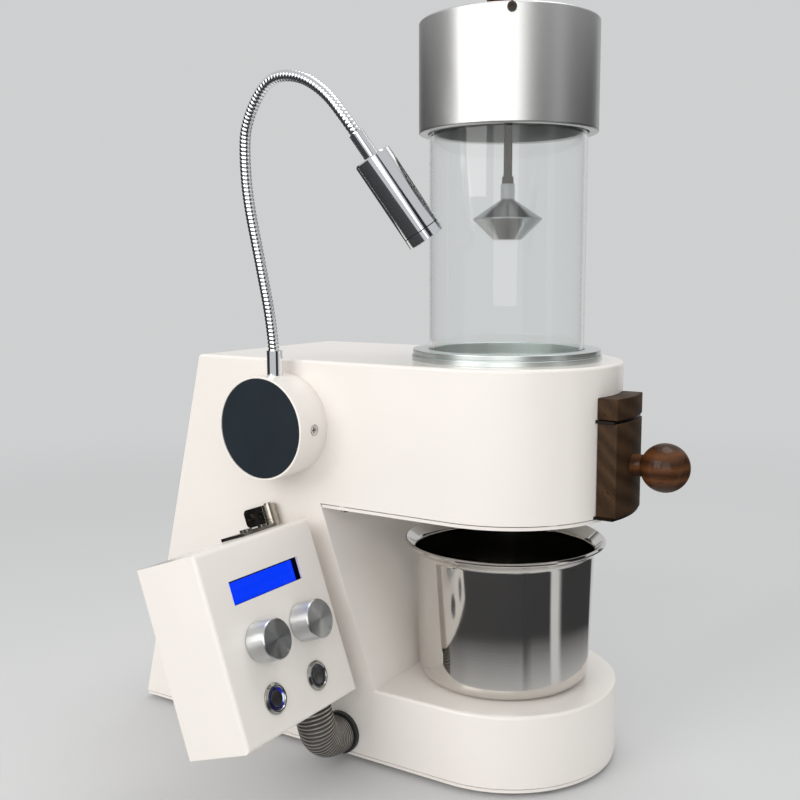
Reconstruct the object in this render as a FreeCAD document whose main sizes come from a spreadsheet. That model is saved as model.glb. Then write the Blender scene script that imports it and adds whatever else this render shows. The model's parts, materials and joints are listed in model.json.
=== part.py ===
"""Home coffee bean roaster: a hot-air roaster on a C-shaped sheet-metal stand.

Millimetres, +Z up, floor at z = 0. The origin is on the floor under the glass chamber's axis.
+X points to the nose with the wooden gate, -Y to the side with the lamp and the control box.
"""
import FreeCAD, Part
import math
import os

import Sketcher
from FreeCAD import Placement, Rotation, Vector

# ---------------------------------------------------------------- driving sizes

SIZES = {
    # stand
    "body_width": (150, "width of the stand; the nose is half round to it"),
    "body_height": (260, "stand without its feet"),
    "base_height": (49, "top of the base above the stand's lower face"),
    "arm_height": (93, "height of the arm's side wall"),
    "rear_top_x": (198.5, "rear edge at the top, behind the chamber's axis"),
    "rear_lean": (13.7, "slope of the rear wall, degrees"),
    "column_gap": (1.278, "column's front to the cup, above the cup's rounded foot"),
    "front_lean": (19.3, "slope of the column's front and of the control box, degrees"),
    "wall": (2, "sheet thickness of the stand"),
    "edge_round": (2, "bend radius along the top edges"),
    "plate_thick": (2, "closing plates under the arm and the base"),
    "seam": (0.7, "open joint between a closing plate and the casing's rim"),
    "plate_inset": (0.6, "closing plates stand back from the casing's face"),
    "foot_height": (3, "rubber feet"),
    "foot_radius": (8, "rubber feet"),
    "intake_count": (6, "air slots in the base's plate, under the blower"),
    "intake_pitch": (14, "air slots in the base's plate"),
    "intake_width": (6, "air slots in the base's plate"),
    "intake_half": (30, "air slots in the base's plate, half length"),
    "boss_radius": (4, "screw bosses inside the casing"),
    "boss_height": (10, "screw bosses inside the casing"),
    "arm_boss_x": (80, "screw bosses under the arm beside the column, behind the axis"),
    "base_boss_x": (230, "rear screw bosses in the base, behind the axis"),
    "screw_radius": (1.5, "small screws"),
    "screw_head_radius": (2.8, "small screws"),
    "screw_head_height": (1.6, "small screws"),
    "hole_gap": (0.1, "radial clearance round a screw"),
    # rear
    "rear_open_width": (120, "service opening in the rear wall"),
    "rear_open_height": (196, "service opening in the rear wall"),
    "rear_open_low": (28, "lower edge of the service opening along the slope"),
    "rear_lap": (6, "rear cover laps over the wall round the opening"),
    "cover_thick": (1.5, "rear cover sheet"),
    "vent_width": (70, "vent slots in the rear cover"),
    "vent_height": (4, "vent slots in the rear cover"),
    "vent_pitch": (9, "vent slots in the rear cover"),
    "vent_count": (8, "vent slots in the rear cover"),
    "inlet_y": (30, "mains inlet beside the middle plane"),
    "inlet_rise": (24, "mains inlet above the service opening's lower edge"),
    "inlet_width": (27, "mains inlet body"),
    "inlet_height": (20, "mains inlet body"),
    "inlet_depth": (17, "mains inlet body behind its flange"),
    "inlet_wall": (1.6, "mains inlet body"),
    "inlet_flange": (2, "mains inlet's flange, thickness"),
    "inlet_flange_lap": (3, "mains inlet's flange beyond its body"),
    "pin_pitch": (7, "mains inlet's pins, side to side"),
    "pin_step": (2, "mains inlet's pins above and below its middle"),
    "pin_width": (2, "mains inlet's pins"),
    "pin_height": (4, "mains inlet's pins"),
    "pin_tail": (4.5, "mains inlet's pins behind its body"),
    # glass chamber
    "glass_radius": (50, "outside of the glass tube"),
    "glass_wall": (3, "glass tube"),
    "glass_height": (168, "glass tube"),
    "glass_gap": (0.4, "glass tube in its seat"),
    "seat_flange": (10.85, "flange of the glass seat beyond the glass's recess"),
    "seat_height": (7, "flange of the glass seat above the stand"),
    "seat_step": (0.75, "flange's upper part is this much smaller"),
    "seat_groove_height": (3.3, "groove in the flange above the stand"),
    "seat_groove_width": (0.6, "groove in the flange"),
    "spigot_wall": (3, "seat's spigot through the stand's top, beyond the glass"),
    "spigot_depth": (8, "seat's spigot below the stand's top"),
    "recess_depth": (9.5, "glass recess in the seat"),
    "gasket_thick": (1.5, "seal under the glass"),
    # chamber cap
    "cap_skirt": (5.9, "cap shell round the glass"),
    "cap_height": (67.7, "cap shell"),
    "cap_lap": (24.7, "cap shell below the glass tube's top"),
    "cap_gap": (0.6, "cap's bore round the glass"),
    "cap_ledge": (3, "ledge that rests on the glass, height"),
    "cap_wall": (6, "cap shell at its top"),
    "screen_thick": (6, "screen disc in the cap"),
    "screen_hole": (2.5, "radius of the holes in the screen disc"),
    "cap_screw_turn": (58, "direction of the first cap screw, degrees from +X"),
    "knob_ball_radius": (15, "wooden ball knobs"),
    "knob_neck_radius": (6.8, "neck of the wooden ball knobs"),
    "top_ball_rise": (19.5, "centre of the cap's ball above the screen disc"),
    # deflector
    "rod_radius": (2.75, "deflector rod"),
    "collar_radius": (3.7, "collar on the rod"),
    "collar_height": (4.4, "collar on the rod"),
    "cone_radius": (22, "widest part of the deflector"),
    "cone_boss_radius": (4.5, "boss of the deflector"),
    "cone_boss_height": (10, "boss of the deflector"),
    "cone_rise": (11.8, "upper cone of the deflector"),
    "cone_fall": (13.4, "lower cone of the deflector"),
    "cone_foot_radius": (9, "lower end of the deflector"),
    "cone_low": (77.4, "lower end of the deflector above the glass tube's foot"),
    # bean path and gate
    "bean_bore": (21, "bean passage below the funnel"),
    "funnel_wall": (1.5, "funnel sheet"),
    "flange_half": (34, "square flanges on the bean passage, half width"),
    "flange_thick": (2, "square flanges on the bean passage"),
    "tube_wall": (2, "bean passage tube"),
    "blade_hole": (1.1, "radius of the air holes in the upper blade"),
    "blade_thick": (1.5, "blades of the gate"),
    "blade_gap": (0.4, "blades of the gate above and below"),
    "blade_half": (22.8, "blades of the gate, half width"),
    "blade_side_gap": (0.6, "blades of the gate to their rails"),
    "blade_tail": (24, "blades of the gate behind the axis"),
    "blade_reach": (11.4, "blades of the gate in front of the stand's nose"),
    "gate_low": (0, "lower blade's underside above the arm's rim"),
    "gate_split": (59.1, "upper blade's underside above the arm's rim"),
    "wood_half": (21.8, "wooden nose, half width"),
    "wood_gap": (0.3, "wooden nose to the casing"),
    "wood_depth": (12.1, "wooden nose, thickness"),
    "wood_top_height": (13.2, "fixed upper part of the wooden nose"),
    "gate_ball_x": (20, "centre of the gate's ball in front of the wood"),
    "gate_ball_z": (31.7, "centre of the gate's ball above the arm's rim"),
    # hot air
    "air_height": (30, "axis of the heater above the arm's rim"),
    "air_port": (17, "hot-air port of the bean passage"),
    "heater_radius": (24, "heater housing"),
    "heater_gap": (0.5, "heater housing behind the bean tube's flanges"),
    "heater_length": (69, "heater housing"),
    "duct_radius": (16, "air duct"),
    "duct_gap": (0.2, "clearance round the duct and in the heater"),
    "duct_bend": (24, "bend radius of the air duct"),
    "duct_rise": (11, "straight part of the air duct above the blower"),
    "thin_wall": (1.5, "heater housing, duct and other sheet parts"),
    "former_half": (14, "mica former in the heater"),
    "coil_wire": (0.9, "heating wire, radius"),
    "coil_turns": (7, "turns of heating wire"),
    "fan_x": (156, "blower axis behind the chamber's axis"),
    "fan_radius": (48, "blower housing"),
    "fan_leg_half": (30, "legs of the blower housing, half width"),
    "fan_half": (20, "blower housing, half depth"),
    "fan_neck": (22, "blower's outlet above its drum"),
    "fan_inlet": (22, "blower's air inlet, radius"),
    "wheel_gap": (6.5, "blower wheel's rim to its housing"),
    "wheel_blade": (9, "blades of the blower wheel, depth from the rim"),
    "wheel_side_gap": (4.5, "blower wheel's sides to its housing"),
    "wheel_blades": (16, "blades of the blower wheel"),
    "shaft_radius": (3, "blower shaft and knob shafts"),
    "shaft_gap": (0.05, "running clearance of shafts and pins"),
    "motor_radius": (26, "blower motor"),
    "motor_length": (38, "blower motor"),
    # electrics in the base
    "board_length": (90, "power board"),
    "board_width": (70, "power board"),
    "board_thick": (1.6, "circuit boards"),
    "board_rise": (9, "power board above the base's plate"),
    "board_back": (40, "rear edge of the power board behind the axis"),
    "board_margin": (4, "power board's edge to its parts"),
    "post_radius": (3, "standoffs of the power board"),
    "post_inset": (5, "standoffs of the power board from its edges"),
    "sink_length": (30, "heat sink"),
    "sink_width": (22, "heat sink"),
    "sink_base": (3, "heat sink's foot"),
    "sink_height": (19, "heat sink"),
    "fin_thick": (1.5, "fins of the heat sink"),
    "relay_length": (30, "relay"),
    "relay_width": (26, "relay"),
    "relay_height": (20, "relay"),
    "terminal_length": (50, "row of terminals"),
    "terminal_side": (10, "row of terminals, width and height"),
    "capacitor_radius": (6, "capacitor"),
    "capacitor_height": (16, "capacitor"),
    "probe_radius": (1.5, "thermocouple"),
    "probe_rise": (12, "thermocouple above the funnel's foot"),
    "probe_tip": (19, "tip of the thermocouple to the axis"),
    "probe_length": (41, "thermocouple"),
    # cup
    "cup_low_radius": (56.2, "cup above its rounded foot"),
    "cup_taper": (3.1, "cup under its lip, beyond its foot"),
    "cup_lip": (7.1, "rolled lip beyond the cup's wall"),
    "cup_room": (22.6, "open height between the cup and the arm's plate"),
    "cup_wall": (1, "cup"),
    "cup_round": (8, "rounded foot of the cup"),
    "cup_flare": (6.6, "height of the flared lip"),
    "cup_flare_round": (3.5, "rounding where the cup's wall turns out into its lip"),
    "cup_lip_height": (2.4, "rolled edge of the lip"),
    # lamp
    "lamp_x": (123, "lamp base behind the chamber's axis"),
    "lamp_z": (220.6, "centre of the lamp base above the floor"),
    "lamp_radius": (33.5, "lamp base"),
    "lamp_depth": (27.3, "lamp base"),
    "lamp_rim": (1.3, "rim round the lamp base's cover"),
    "lamp_cover_thick": (2, "cover of the lamp base"),
    "lamp_cover_sink": (0.5, "cover below the rim"),
    "ferrule_radius": (5.2, "ferrule of the gooseneck"),
    "ferrule_rise": (48.9, "top of the ferrule above the lamp base's centre"),
    "ferrule_length": (30, "ferrule of the gooseneck, with the part cut to the lamp base"),
    "ferrule_out": (12.5, "gooseneck's axis from the side wall"),
    "ferrule_ahead": (1.6, "gooseneck's axis in front of the lamp base's centre"),
    "neck_radius": (3.6, "gooseneck"),
    "neck_gap": (0.3, "gooseneck in its ferrule and joints"),
    "sleeve_wall": (0.5, "sleeve of the lamp head"),
    "sleeve_length": (16.3, "sleeve of the lamp head"),
    "sleeve_gap": (0.5, "gooseneck in the lamp head's sleeve"),
    "head_radius": (11.75, "lamp head"),
    "head_length": (57.5, "lamp head with its bezel"),
    "head_wall": (1.2, "lamp head"),
    "bezel_length": (6.6, "bezel of the lamp head"),
    "lens_sink": (1.2, "lens below the bezel's edge"),
    "lens_thick": (2, "lens"),
    "head_turn": (38.1, "direction of the lamp head in plan, degrees from +X"),
    "head_dip": (145.7, "lamp head's axis from +Z, degrees"),
    # control box, in its own frame: X out of its face, Z up its face
    "box_width": (104.5, "control box along Y"),
    "box_height": (113, "control box up its face"),
    "box_depth": (47, "control box"),
    "box_wall": (1.5, "control box"),
    "box_round": (2.5, "edges of the control box"),
    "box_gap": (14, "control box to the stand's side wall"),
    "box_origin_x": (57.852, "box's lower front edge behind the chamber's axis"),
    "box_origin_z": (57.35, "box's lower front edge above the floor"),
    "screen_width": (62.5, "display window"),
    "screen_height": (14, "display window"),
    "screen_centre_y": (52.5, "display window from the box's inner side"),
    "screen_centre_z": (27.7, "display window below the box's upper edge"),
    "screen_sink": (4, "display glass behind the box's face"),
    "frame_depth": (7, "display frame"),
    "frame_margin": (5, "display frame round the window"),
    "knob_radius": (12, "control knobs"),
    "knob_height": (14, "control knobs"),
    "knob_off": (0.5, "control knobs off the box's face"),
    "knob_z": (0.95, "control knobs above the middle between the display and the buttons"),
    "right_knob_y": (32.5, "right knob from the box's inner side"),
    "knob_pitch": (40, "distance between the knobs"),
    "button_z": (20, "buttons above the box's lower edge"),
    "right_button_y": (33.5, "right button from the box's inner side"),
    "button_pitch": (39.5, "distance between the buttons"),
    "bezel_radius": (9, "button bezel"),
    "bezel_thick": (2, "button bezel"),
    "barrel_radius": (8, "button barrel"),
    "barrel_depth": (20, "button barrel behind the face"),
    "plunger_radius": (6.2, "button plunger"),
    "plunger_gap": (0.3, "button plunger in its barrel"),
    "button_travel": (2, "button travel"),
    # hinge
    "hinge_x": (37.7, "hinge axis behind the box's face"),
    "hinge_out": (8.5, "hinge axis beside the box"),
    "knuckle_radius": (4.5, "hinge knuckles"),
    "knuckle_low": (4.9, "box leaf's knuckle"),
    "knuckle_gap": (0.3, "between the knuckles, and between a leaf and a knuckle"),
    "knuckle_groove": (0.6, "groove between the wall leaf's two knuckles, depth and width"),
    "hinge_top": (15, "top of the hinge above the box"),
    "pin_radius": (1.5, "hinge pin"),
    "box_leaf_half": (10, "hinge leaf on the box, half width"),
    "box_leaf_length": (32, "hinge leaf on the box"),
    "leaf_length": (27, "hinge leaf on the wall, from the pin to its far edge"),
    "leaf_round": (3, "corners of the hinge leaf on the wall"),
    "leaf_thick": (1.5, "hinge leaf on the wall"),
    "box_leaf_thick": (2, "hinge leaf on the box"),
    # conduit
    "conduit_radius": (12.2, "corrugated conduit"),
    "conduit_bore": (10, "corrugated conduit"),
    "conduit_x": (27.9, "conduit behind the box's face"),
    "conduit_y": (15, "conduit from the box's inner side"),
    "conduit_z": (18, "conduit's entry in the stand above the floor"),
    "conduit_wall_x": (80.8, "conduit's entry in the stand behind the chamber's axis"),
    "conduit_in": (6, "conduit's lower corner from its start, towards the stand"),
    "conduit_bend": (20, "bend radius of the conduit beside the stand"),
    "conduit_drop": (8, "straight start of the conduit below the box"),
    "gland_radius": (14, "flange of the conduit's glands"),
    "gland_thick": (3, "flange of the conduit's glands"),
    "gland_depth": (10, "barrel of the conduit's glands inside the sheet"),
    "gland_barrel": (9.5, "barrel of the conduit's glands"),
}

doc = FreeCAD.newDocument("CoffeeRoaster")
sheet = doc.addObject("Spreadsheet::Sheet", "Sizes")
for line_number, (alias, (number, meaning)) in enumerate(SIZES.items(), start=1):
    sheet.set(f"A{line_number}", alias)
    sheet.set(f"B{line_number}", str(number))
    sheet.set(f"C{line_number}", meaning)
    sheet.setAlias(f"B{line_number}", alias)
doc.recompute()


# ---------------------------------------------------------------- sizes that stay tied to the sheet

class Dim:
    """A number worked out from the sheet, kept with the expression that gives it."""

    def __init__(self, value, text):
        self.value = float(value)
        self.text = text

    def __add__(self, other):
        other = dim(other)
        return Dim(self.value + other.value, f"({self.text} + {other.text})")

    def __sub__(self, other):
        other = dim(other)
        return Dim(self.value - other.value, f"({self.text} - {other.text})")

    def __mul__(self, other):
        other = dim(other)
        return Dim(self.value * other.value, f"({self.text} * {other.text})")

    def __truediv__(self, other):
        other = dim(other)
        return Dim(self.value / other.value, f"({self.text} / {other.text})")

    def __radd__(self, other):
        return dim(other) + self

    def __rsub__(self, other):
        return dim(other) - self

    def __rmul__(self, other):
        return dim(other) * self

    def __neg__(self):
        return Dim(-self.value, f"(-{self.text})")

    def __float__(self):
        return self.value

    def __int__(self):
        return int(round(self.value))


def dim(value):
    """Any number as a Dim."""
    return value if isinstance(value, Dim) else Dim(value, f"({float(value)!r})")


def sine(angle):
    return Dim(math.sin(math.radians(angle.value)), f"sin({angle.text})")


def cosine(angle):
    return Dim(math.cos(math.radians(angle.value)), f"cos({angle.text})")


def tangent(angle):
    return Dim(math.tan(math.radians(angle.value)), f"tan({angle.text})")


class Sheet:
    """The sheet's cells by name, each as a Dim."""

    def __getattr__(self, alias):
        return Dim(float(sheet.get(alias)), "Sizes." + alias)


S = Sheet()


def bind(item, prop, value):
    """Tie one property to the sheet."""
    item.setExpression(prop, dim(value).text)


# ---------------------------------------------------------------- building blocks

TURNS = {
    "Z": Rotation(),
    "X": Rotation(Vector(0, 1, 0), 90),
    "-X": Rotation(Vector(0, 1, 0), -90),
    "Y": Rotation(Vector(1, 0, 0), -90),
    "-Y": Rotation(Vector(1, 0, 0), 90),
    "-Z": Rotation(Vector(1, 0, 0), 180),
}
ORIGIN = (0, 0, 0)
BIG = 400
nodes = []


def place(item, at, turn=Rotation()):
    """Put an item at a point tied to the sheet, with a fixed turn."""
    item.Placement = Placement(Vector(0, 0, 0), turn)
    for letter, value in zip("xyz", at):
        bind(item, "Placement.Base." + letter, value)
    return item


def box(low, high):
    """Box between two opposite corners."""
    item = doc.addObject("Part::Box", "Box")
    for side, start, end in zip(("Length", "Width", "Height"), low, high):
        bind(item, side, dim(end) - start)
    return place(item, low)


def rod(radius, length, at, axis="Z"):
    """Cylinder from a point along an axis."""
    item = doc.addObject("Part::Cylinder", "Rod")
    bind(item, "Radius", radius)
    bind(item, "Height", length)
    return place(item, at, TURNS[axis])


def ball(radius, at):
    """Sphere round a point."""
    item = doc.addObject("Part::Sphere", "Ball")
    bind(item, "Radius", radius)
    return place(item, at)


def torus(ring, wire, at, axis="Z"):
    """Ring of round wire about an axis."""
    item = doc.addObject("Part::Torus", "Ring")
    bind(item, "Radius1", ring)
    bind(item, "Radius2", wire)
    return place(item, at, TURNS[axis])


def fuse(*parts):
    item = doc.addObject("Part::MultiFuse", "Fuse")
    item.Shapes = list(parts)
    return item


def cut(base, *tools):
    item = doc.addObject("Part::Cut", "Cut")
    item.Base = base
    item.Tool = tools[0] if len(tools) == 1 else fuse(*tools)
    return item


def common(first, second):
    item = doc.addObject("Part::Common", "Common")
    item.Base = first
    item.Tool = second
    return item


def group(*parts):
    """Separate solids of one node, or one part that takes a frame of its own."""
    item = doc.addObject("Part::Compound", "Group")
    item.Links = list(parts)
    return item


def node(label, item):
    """Name a sub-part and keep it for export."""
    item.Label = label
    nodes.append(item)
    return item


def new_sketch(body, role, rise=None):
    """Sketch on one of the body's own origin planes, moved along its normal."""
    drawn = body.newObject("Sketcher::SketchObject", "Sketch")
    plane = [part for part in body.Origin.OriginFeatures if part.Role == role][0]
    drawn.AttachmentSupport = [(plane, "")]
    drawn.MapMode = "FlatFace"
    if rise is not None:
        bind(drawn, "AttachmentOffset.Base.z", rise)
    return drawn


def outline(drawn, points):
    """Closed outline of straight edges, each corner tied to the sheet."""
    count = len(points)
    ends = [Vector(float(x), float(y), 0) for x, y in points]
    for index in range(count):
        drawn.addGeometry(Part.LineSegment(ends[index], ends[(index + 1) % count]))
    for index in range(count):
        drawn.addConstraint(Sketcher.Constraint("Coincident", index, 2, (index + 1) % count, 1))
    for index, corner in enumerate(points):
        for kind, value in zip(("DistanceX", "DistanceY"), corner):
            number = drawn.addConstraint(Sketcher.Constraint(kind, -1, 1, index, 1, float(value)))
            bind(drawn, f"Constraints[{number}]", value)


def turned(points):
    """Solid of revolution about Z from corners given as (radius, height)."""
    body = doc.addObject("PartDesign::Body", "Turned")
    drawn = new_sketch(body, "XZ_Plane")
    outline(drawn, points)
    spin = body.newObject("PartDesign::Revolution", "Revolution")
    spin.Profile = drawn
    spin.ReferenceAxis = (drawn, ["V_Axis"])
    spin.Angle = 360
    body.Tip = spin
    return body


def extruded(points, width):
    """Solid with a side outline given as (x, z), centred on y = 0."""
    body = doc.addObject("PartDesign::Body", "Extruded")
    drawn = new_sketch(body, "XZ_Plane")
    outline(drawn, points)
    pad = body.newObject("PartDesign::Pad", "Pad")
    pad.Profile = drawn
    bind(pad, "Length", width)
    pad.Midplane = True
    body.Tip = pad
    return body


def edge_points(edge):
    """Start, middle and end of an edge."""
    first, last = edge.ParameterRange
    return [edge.valueAt(value) for value in (first, (first + last) / 2, last)]


def round_edges(body, radius, wanted, kind="Fillet", size="Radius"):
    """Round a body's edges whose points all pass a test."""
    doc.recompute()
    tip = body.Tip
    names = []
    for number, edge in enumerate(tip.Shape.Edges, start=1):
        if all(wanted(point) for point in edge_points(edge)):
            names.append(f"Edge{number}")
    if not names:
        raise RuntimeError("no edges to round on " + body.Name)
    finish = body.newObject("PartDesign::" + kind, kind)
    finish.Base = (tip, names)
    bind(finish, size, radius)
    body.Tip = finish
    return body


def bevel_edges(body, width, wanted):
    """Chamfer a body's edges whose points all pass a test."""
    return round_edges(body, width, wanted, "Chamfer", "Size")


def near(first, second):
    return abs(float(first) - float(second)) < 0.01


def on_circle(radius, height):
    """Test for the points of a turned edge."""
    return lambda point: near(math.hypot(point.x, point.y), radius) and near(point.z, height)


def screw(at, axis, length):
    """Small round-head screw: at is under its head, axis is where its shank points."""
    outward = {"Z": (0, 0, -1), "-Z": (0, 0, 1), "X": (-1, 0, 0), "-X": (1, 0, 0), "Y": (0, -1, 0)}[axis]
    top = [dim(value) + S.screw_head_height * way for value, way in zip(at, outward)]
    shank = rod(S.screw_radius, length, at, axis)
    head = rod(S.screw_head_radius, S.screw_head_height, top, axis)
    socket = rod(S.screw_radius * 0.8, S.screw_head_height * 0.6, top, axis)
    return cut(fuse(shank, head), socket)


def in_frame(item, at, axis, angle):
    """Give a finished item the place and tilt of a frame tied to the sheet."""
    place(item, at, Rotation(axis, float(angle)))
    bind(item, "Placement.Rotation.Angle", angle)
    return item


def run_wire(points, radii):
    """Straight runs through the points, joined by tangent arcs of the given radii."""
    edges = []
    start = points[0]
    for before, corner, after, radius in zip(points, points[1:], points[2:], radii):
        back = (before - corner).normalize()
        ahead = (after - corner).normalize()
        half_turn = (math.pi - back.getAngle(ahead)) / 2
        reach = radius * math.tan(half_turn)
        middle = corner + (back + ahead).normalize() * (radius / math.cos(half_turn) - radius)
        edges.append(Part.LineSegment(start, corner + back * reach).toShape())
        edges.append(Part.Arc(corner + back * reach, middle, corner + ahead * reach).toShape())
        start = corner + ahead * reach
    edges.append(Part.LineSegment(start, points[-1]).toShape())
    return Part.Wire(edges)


def easy_radii(points):
    """Arc radii as large as the runs allow: 0.45 of the shorter run."""
    radii = []
    for before, corner, after in zip(points, points[1:], points[2:]):
        half_turn = (math.pi - (before - corner).getAngle(after - corner)) / 2
        shorter = min((corner - before).Length, (after - corner).Length)
        radii.append(0.45 * shorter / math.tan(half_turn))
    return radii


def swept(wire, radius):
    """Round bar along a wire; its volume is compared with section times length."""
    first = wire.OrderedEdges[0]
    start = first.valueAt(first.FirstParameter)
    circle = Part.Wire(Part.Circle(start, first.tangentAt(first.FirstParameter), radius).toShape())
    bar = wire.makePipeShell([circle], True, False)
    expected = math.pi * radius ** 2 * wire.Length
    if abs(bar.Volume / expected - 1) > 0.01:
        raise RuntimeError(f"sweep volume {bar.Volume:.1f}, expected {expected:.1f}")
    return bar


def feature(shape):
    """A shape made by hand as an object of the document."""
    item = doc.addObject("Part::Feature", "Swept")
    item.Shape = shape
    return item


# ---------------------------------------------------------------- heights and slopes of the stand

half_width = S.body_width / 2
casing_low = S.foot_height + S.plate_thick + S.seam
plate_top = S.foot_height + S.plate_thick
body_top = S.foot_height + S.body_height
base_top = S.foot_height + S.base_height
arm_low = body_top - S.arm_height
arm_plate_top = arm_low - S.seam
arm_plate_low = arm_plate_top - S.plate_thick
cup_shoulder = base_top + S.cup_round
column_top_x = (arm_low - cup_shoulder) * tangent(S.front_lean) + S.cup_low_radius + S.column_gap


def rear_x(height):
    """Outer face of the rear wall at a height."""
    return -(S.rear_top_x + (body_top - height) * tangent(S.rear_lean))


def column_x(height):
    """Outer face of the column's front at a height."""
    return (arm_low - height) * tangent(S.front_lean) - column_top_x


def nose_block(half, low, top, rear_shift):
    """Block with straight sides and a half-round nose, its rear end cut to the rear slope."""
    body = doc.addObject("PartDesign::Body", "Block")
    drawn = new_sketch(body, "XY_Plane", low)
    back = rear_x(low) + rear_shift
    across = float(half)
    corners = [Vector(float(back), -across, 0), Vector(0, -across, 0), Vector(0, across, 0),
               Vector(float(back), across, 0)]
    drawn.addGeometry(Part.LineSegment(corners[0], corners[1]))
    nose = Part.ArcOfCircle(Part.Circle(Vector(0, 0, 0), Vector(0, 0, 1), across), -math.pi / 2, math.pi / 2)
    drawn.addGeometry(nose)
    drawn.addGeometry(Part.LineSegment(corners[2], corners[3]))
    drawn.addGeometry(Part.LineSegment(corners[3], corners[0]))
    for rule in (("Coincident", 0, 2, 1, 1), ("Coincident", 1, 2, 2, 1), ("Coincident", 2, 2, 3, 1),
                 ("Coincident", 3, 2, 0, 1), ("Coincident", 1, 3, -1, 1), ("PointOnObject", 1, 1, -2),
                 ("PointOnObject", 1, 2, -2), ("Horizontal", 0), ("Horizontal", 2), ("Vertical", 3)):
        drawn.addConstraint(Sketcher.Constraint(*rule))
    number = drawn.addConstraint(Sketcher.Constraint("Radius", 1, across))
    bind(drawn, f"Constraints[{number}]", half)
    number = drawn.addConstraint(Sketcher.Constraint("DistanceX", -1, 1, 0, 1, float(back)))
    bind(drawn, f"Constraints[{number}]", back)
    pad = body.newObject("PartDesign::Pad", "Pad")
    pad.Profile = drawn
    bind(pad, "Length", top - low)
    wedge = new_sketch(body, "XZ_Plane")
    outline(wedge, [(back, low), (rear_x(top) + rear_shift, top), (back - BIG, top), (back - BIG, low)])
    pocket = body.newObject("PartDesign::Pocket", "Pocket")
    pocket.Profile = wedge
    bind(pocket, "Length", half * 4)
    pocket.Midplane = True
    body.Tip = pocket
    return body


def column_block(width, low, front_shift, rear_shift):
    """Column from a height up to the arm's rim, leaning forward at its foot and back at its rear."""
    return extruded([(rear_x(low) + rear_shift, low), (rear_x(arm_low) + rear_shift, arm_low),
                     (column_x(arm_low) + front_shift, arm_low), (column_x(low) + front_shift, low)], width)


# ---------------------------------------------------------------- gate levels, used by several parts

blade_low = arm_low + S.gate_low
blade_low_top = blade_low + S.blade_thick
blade_high = arm_low + S.gate_split
blade_high_top = blade_high + S.blade_thick
chamber_low = blade_low_top + S.blade_gap
chamber_top = blade_high - S.blade_gap
funnel_low = blade_high_top + S.blade_gap
nose_radius = half_width + S.wood_gap
wood_radius = nose_radius + S.wood_depth
blade_radius = half_width + S.blade_reach
slot_half = S.blade_half + S.wood_gap
wood_top_low = blade_high_top + S.blade_gap

# hot air: the heater's axis and front end, and the blower below it
air_axis = arm_low + S.air_height
heater_front = S.flange_half + S.heater_gap
heater_back = heater_front + S.heater_length
duct_x = heater_back + S.duct_bend + 2
fan_outlet_top = air_axis - S.duct_bend - S.duct_rise
fan_z = fan_outlet_top - S.fan_neck - S.fan_radius

# boss positions: (x, y) below the arm and below the base, two beside the column and two in the nose
# each boss grows half way into the side wall or the nose
boss_turn = dim(40)
boss_line = half_width - S.wall / 2 - S.boss_radius
nose_boss_x = boss_line * cosine(boss_turn)
nose_boss_y = boss_line * sine(boss_turn)
nose_bosses = [(nose_boss_x, -nose_boss_y), (nose_boss_x, nose_boss_y)]
arm_bosses = [(-S.arm_boss_x, -boss_line), (-S.arm_boss_x, boss_line)] + nose_bosses
base_bosses = [(-S.base_boss_x, -boss_line), (-S.base_boss_x, boss_line)] + nose_bosses

# control box frame: X out of its face, Z up its face, origin at the upper front edge's inner end
box_at = (-S.box_origin_x - S.box_height * sine(S.front_lean), -(half_width + S.box_gap),
          S.box_origin_z + S.box_height * cosine(S.front_lean))
BOX_AXIS = Vector(0, 1, 0)
leaf_low = S.box_leaf_thick + S.knuckle_gap * 2
# rear frame: X into the casing, Z up the slope, origin on the outer face at the casing's lower rim
rear_at = (rear_x(casing_low), 0, casing_low)


def in_box(item):
    return in_frame(item, box_at, BOX_AXIS, -S.front_lean)


def in_rear(item):
    return in_frame(item, rear_at, BOX_AXIS, S.rear_lean)


# ---------------------------------------------------------------- stand

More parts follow.
